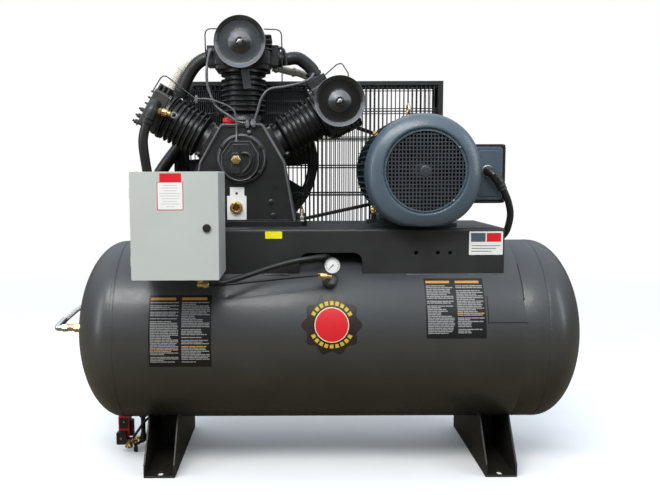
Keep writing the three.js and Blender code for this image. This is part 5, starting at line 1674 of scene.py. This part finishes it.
def build_auto_drain():
    low = DRAIN_Z + 10.3
    auto = Shape()
    auto.add(slab((-738, -700, low + 6, 133, 4, 4), -22, 22))
    auto.add(slab((-734, -704, low + 40, 126, 2, 3), -23, -21), slot=1)
    auto.add(box(-738, -706, -20, 20, low, low + 8), slot=1)
    auto.add(slab((-742, -708, 36, 80, 4, 3), -42, -21), slot=1)
    auto.add(rod(4, 0, 3, 20, 0.6), towards((-725, -42, 58), FRONT), 2)
    auto.add(box(-701, -690, -4, 18, low + 6, 112), slot=1)
    auto.add(rod(3.4, 0, 2, 16, 0.5), towards((-718, -23, 112), FRONT), 2)
    make("timer_drain", auto, [RED, PLASTIC, BRASS], bevel=1.0, segments=3, replaces="auto_drain")
    lead = curve([(-690, -28, 48), (-684, -30, 58), (-664, -34, 88), (-644, -38, 116), (-626, -44, 134)], 8)
    line = Shape().add(tube(lead, 4.4, 14), None, 0)
    line.add(hexagon(12, 0, 14), towards((-692, -27, 44), (0.55, -0.05, 0.8)), 1)
    make("drain_lead", line, [RUBBER, BRASS])


# ------------------------------------------------------------------ assembly
build_tank()
build_tank_marks()
build_foot("left", -FOOT_X)
build_foot("right", FOOT_X)
build_deck()
build_deck_trim()
build_crankcase()
build_crankcase_trim()
build_front_cover()
build_front_cover_trim()
build_sight_glass()
build_fill_cap()
for bank_name in BANKS:
    build_cylinder(bank_name)
build_low_head("centre", (-1, 1))
build_low_head("right", (-1,))
build_high_head()
for bank_name, lid in (("centre", GLOSS_GREY), ("right", GLOSS)):
    build_filter(bank_name, lid)
    build_filter_nut(bank_name)
build_flywheel()
build_motor_pulley()
build_belts()
build_guard()
build_fan_cover()
build_fan_cover_screws()
build_motor_frame()
build_motor_fittings()
build_motor_rear()
build_motor_base()
build_junction_box()
build_cable()
build_intercoolers()
build_ducts()
build_sensing_lines()
build_unloader_lines()
build_delivery_hose()
build_cooler()
build_tank_hose()
build_control_hose()
build_control_box()
build_box_fittings()
build_starter()
build_door()
build_door_label()
build_latch()
build_gauge()
build_gauge_cross()
build_safety_valve()
build_drain()
build_auto_drain()

KEPT_NODES = {"bearing_cover_rear": CAST, "crankshaft": MACHINED, "motor_shaft": MACHINED,
    "motor_fan": PLASTIC, "piston_left": ALUMINIUM, "piston_centre": ALUMINIUM, "piston_right": ALUMINIUM,
    "connecting_rod_left": STEEL, "connecting_rod_centre": STEEL, "connecting_rod_right": STEEL,}
for node_name, material in KEPT_NODES.items():
    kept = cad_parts[node_name]
    kept.data.materials.clear()
    kept.data.materials.append(material)


# ------------------------------------------------------------------ stage, light and camera
def mixed_shader(tree, factor, a, b):
    return node(tree, "ShaderNodeMixShader", {0: factor, 1: a, 2: b}).outputs[0]


def floor_finish():
    """Pale near the machine, fading to plain white far off. It throws only a dim warm light upwards."""
    material = finish("pale_floor", (0.90, 0.90, 0.90), 0.7, grain=(40, 0.00005), mottle=0.01, specular=0.2)
    tree = material.node_tree
    where = node(tree, "ShaderNodeTexCoord").outputs["Object"]
    away = node(tree, "ShaderNodeVectorMath", {0: where}, operation="LENGTH").outputs["Value"]
    white = node(tree, "ShaderNodeEmission", {"Color": (1, 1, 1, 1), "Strength": 1.0}).outputs[0]
    dim = node(tree, "ShaderNodeBsdfDiffuse", {"Color": (0.17, 0.145, 0.10, 1)}).outputs[0]
    seen = node(tree, "ShaderNodeLightPath").outputs["Is Camera Ray"]
    near = mixed_shader(tree, ramp(tree, away, 2.0, 5.5), tree.nodes["Principled BSDF"].outputs[0], white)
    tree.links.new(mixed_shader(tree, seen, dim, near), tree.nodes["Material Output"].inputs["Surface"])
    return material


def build_stage():
    data = bpy.data.meshes.new("floor")
    data.from_pydata([(-40, -10, 0), (40, -10, 0), (40, 60, 0), (-40, 60, 0)], [], [[0, 1, 2, 3]])
    floor = bpy.data.objects.new("floor", data)
    bpy.context.scene.collection.objects.link(floor)
    floor.data.materials.append(floor_finish())


# Name, where it stands and what it faces in metres, width, height, watts and colour
LAMPS = (("key", (-0.9, -3.0, 3.9), (0, 0, 0.9), 3.6, 1.4, 165, (1.0, 0.99, 0.97)),
    ("left", (-3.4, -1.8, 1.7), (0, 0, 0.8), 0.9, 2.4, 38, (0.92, 0.96, 1.0)),
    ("right", (3.6, -1.6, 2.0), (0, 0, 0.8), 0.9, 2.4, 34, (0.92, 0.96, 1.0)),)


def area_light(name, location, target, size_x, size_y, power, color):
    data = bpy.data.lights.new(name, "AREA")
    data.shape = "RECTANGLE"
    data.size, data.size_y = size_x, size_y
    data.energy = power
    data.color = color
    light = bpy.data.objects.new(name, data)
    light.location = location
    direction = Vector(target) - Vector(location)
    light.rotation_euler = direction.to_track_quat("-Z", "Y").to_euler()
    bpy.context.scene.collection.objects.link(light)


def build_lights():
    world = bpy.data.worlds.new("studio")
    bpy.context.scene.world = world
    world.use_nodes = True
    tree = world.node_tree
    where = node(tree, "ShaderNodeTexCoord").outputs["Generated"]
    height = node(tree, "ShaderNodeSeparateXYZ", {"Vector": where}).outputs["Z"]
    sky = mixed(tree, ramp(tree, height, 0.05, 0.85), (0.16, 0.16, 0.155, 1), (1.15, 1.28, 1.42, 1))
    around = mixed(tree, ramp(tree, height, -0.3, 0.05), (0.10, 0.085, 0.06, 1), sky)
    seen = node(tree, "ShaderNodeLightPath").outputs["Is Camera Ray"]
    background = tree.nodes["Background"]
    tree.links.new(mixed(tree, seen, around, (1.0, 1.0, 1.0, 1.0)), background.inputs["Color"])
    for lamp in LAMPS:
        area_light(*lamp)


# The photograph's camera: metres from the middle of the tank, millimetres of lens, degrees
CAMERA_PLACE = Vector((-0.111, -2.600, 0.978))
CAMERA_LENS = 40.909091
CAMERA_SHIFT = 0.053
CAMERA_TILT = 5.52
CAMERA_ROLL = 0.2


def build_camera():
    data = bpy.data.cameras.new("camera")
    data.sensor_width = 36
    data.lens = CAMERA_LENS
    data.shift_x = CAMERA_SHIFT
    camera = bpy.data.objects.new("camera", data)
    camera.location = CAMERA_PLACE + TANK_MIDDLE
    camera.rotation_euler = (radians(90 - CAMERA_TILT), radians(CAMERA_ROLL), 0)
    bpy.context.scene.collection.objects.link(camera)
    bpy.context.scene.camera = camera


build_stage()
build_lights()
build_camera()
bpy.context.scene.view_settings.view_transform = "Standard"
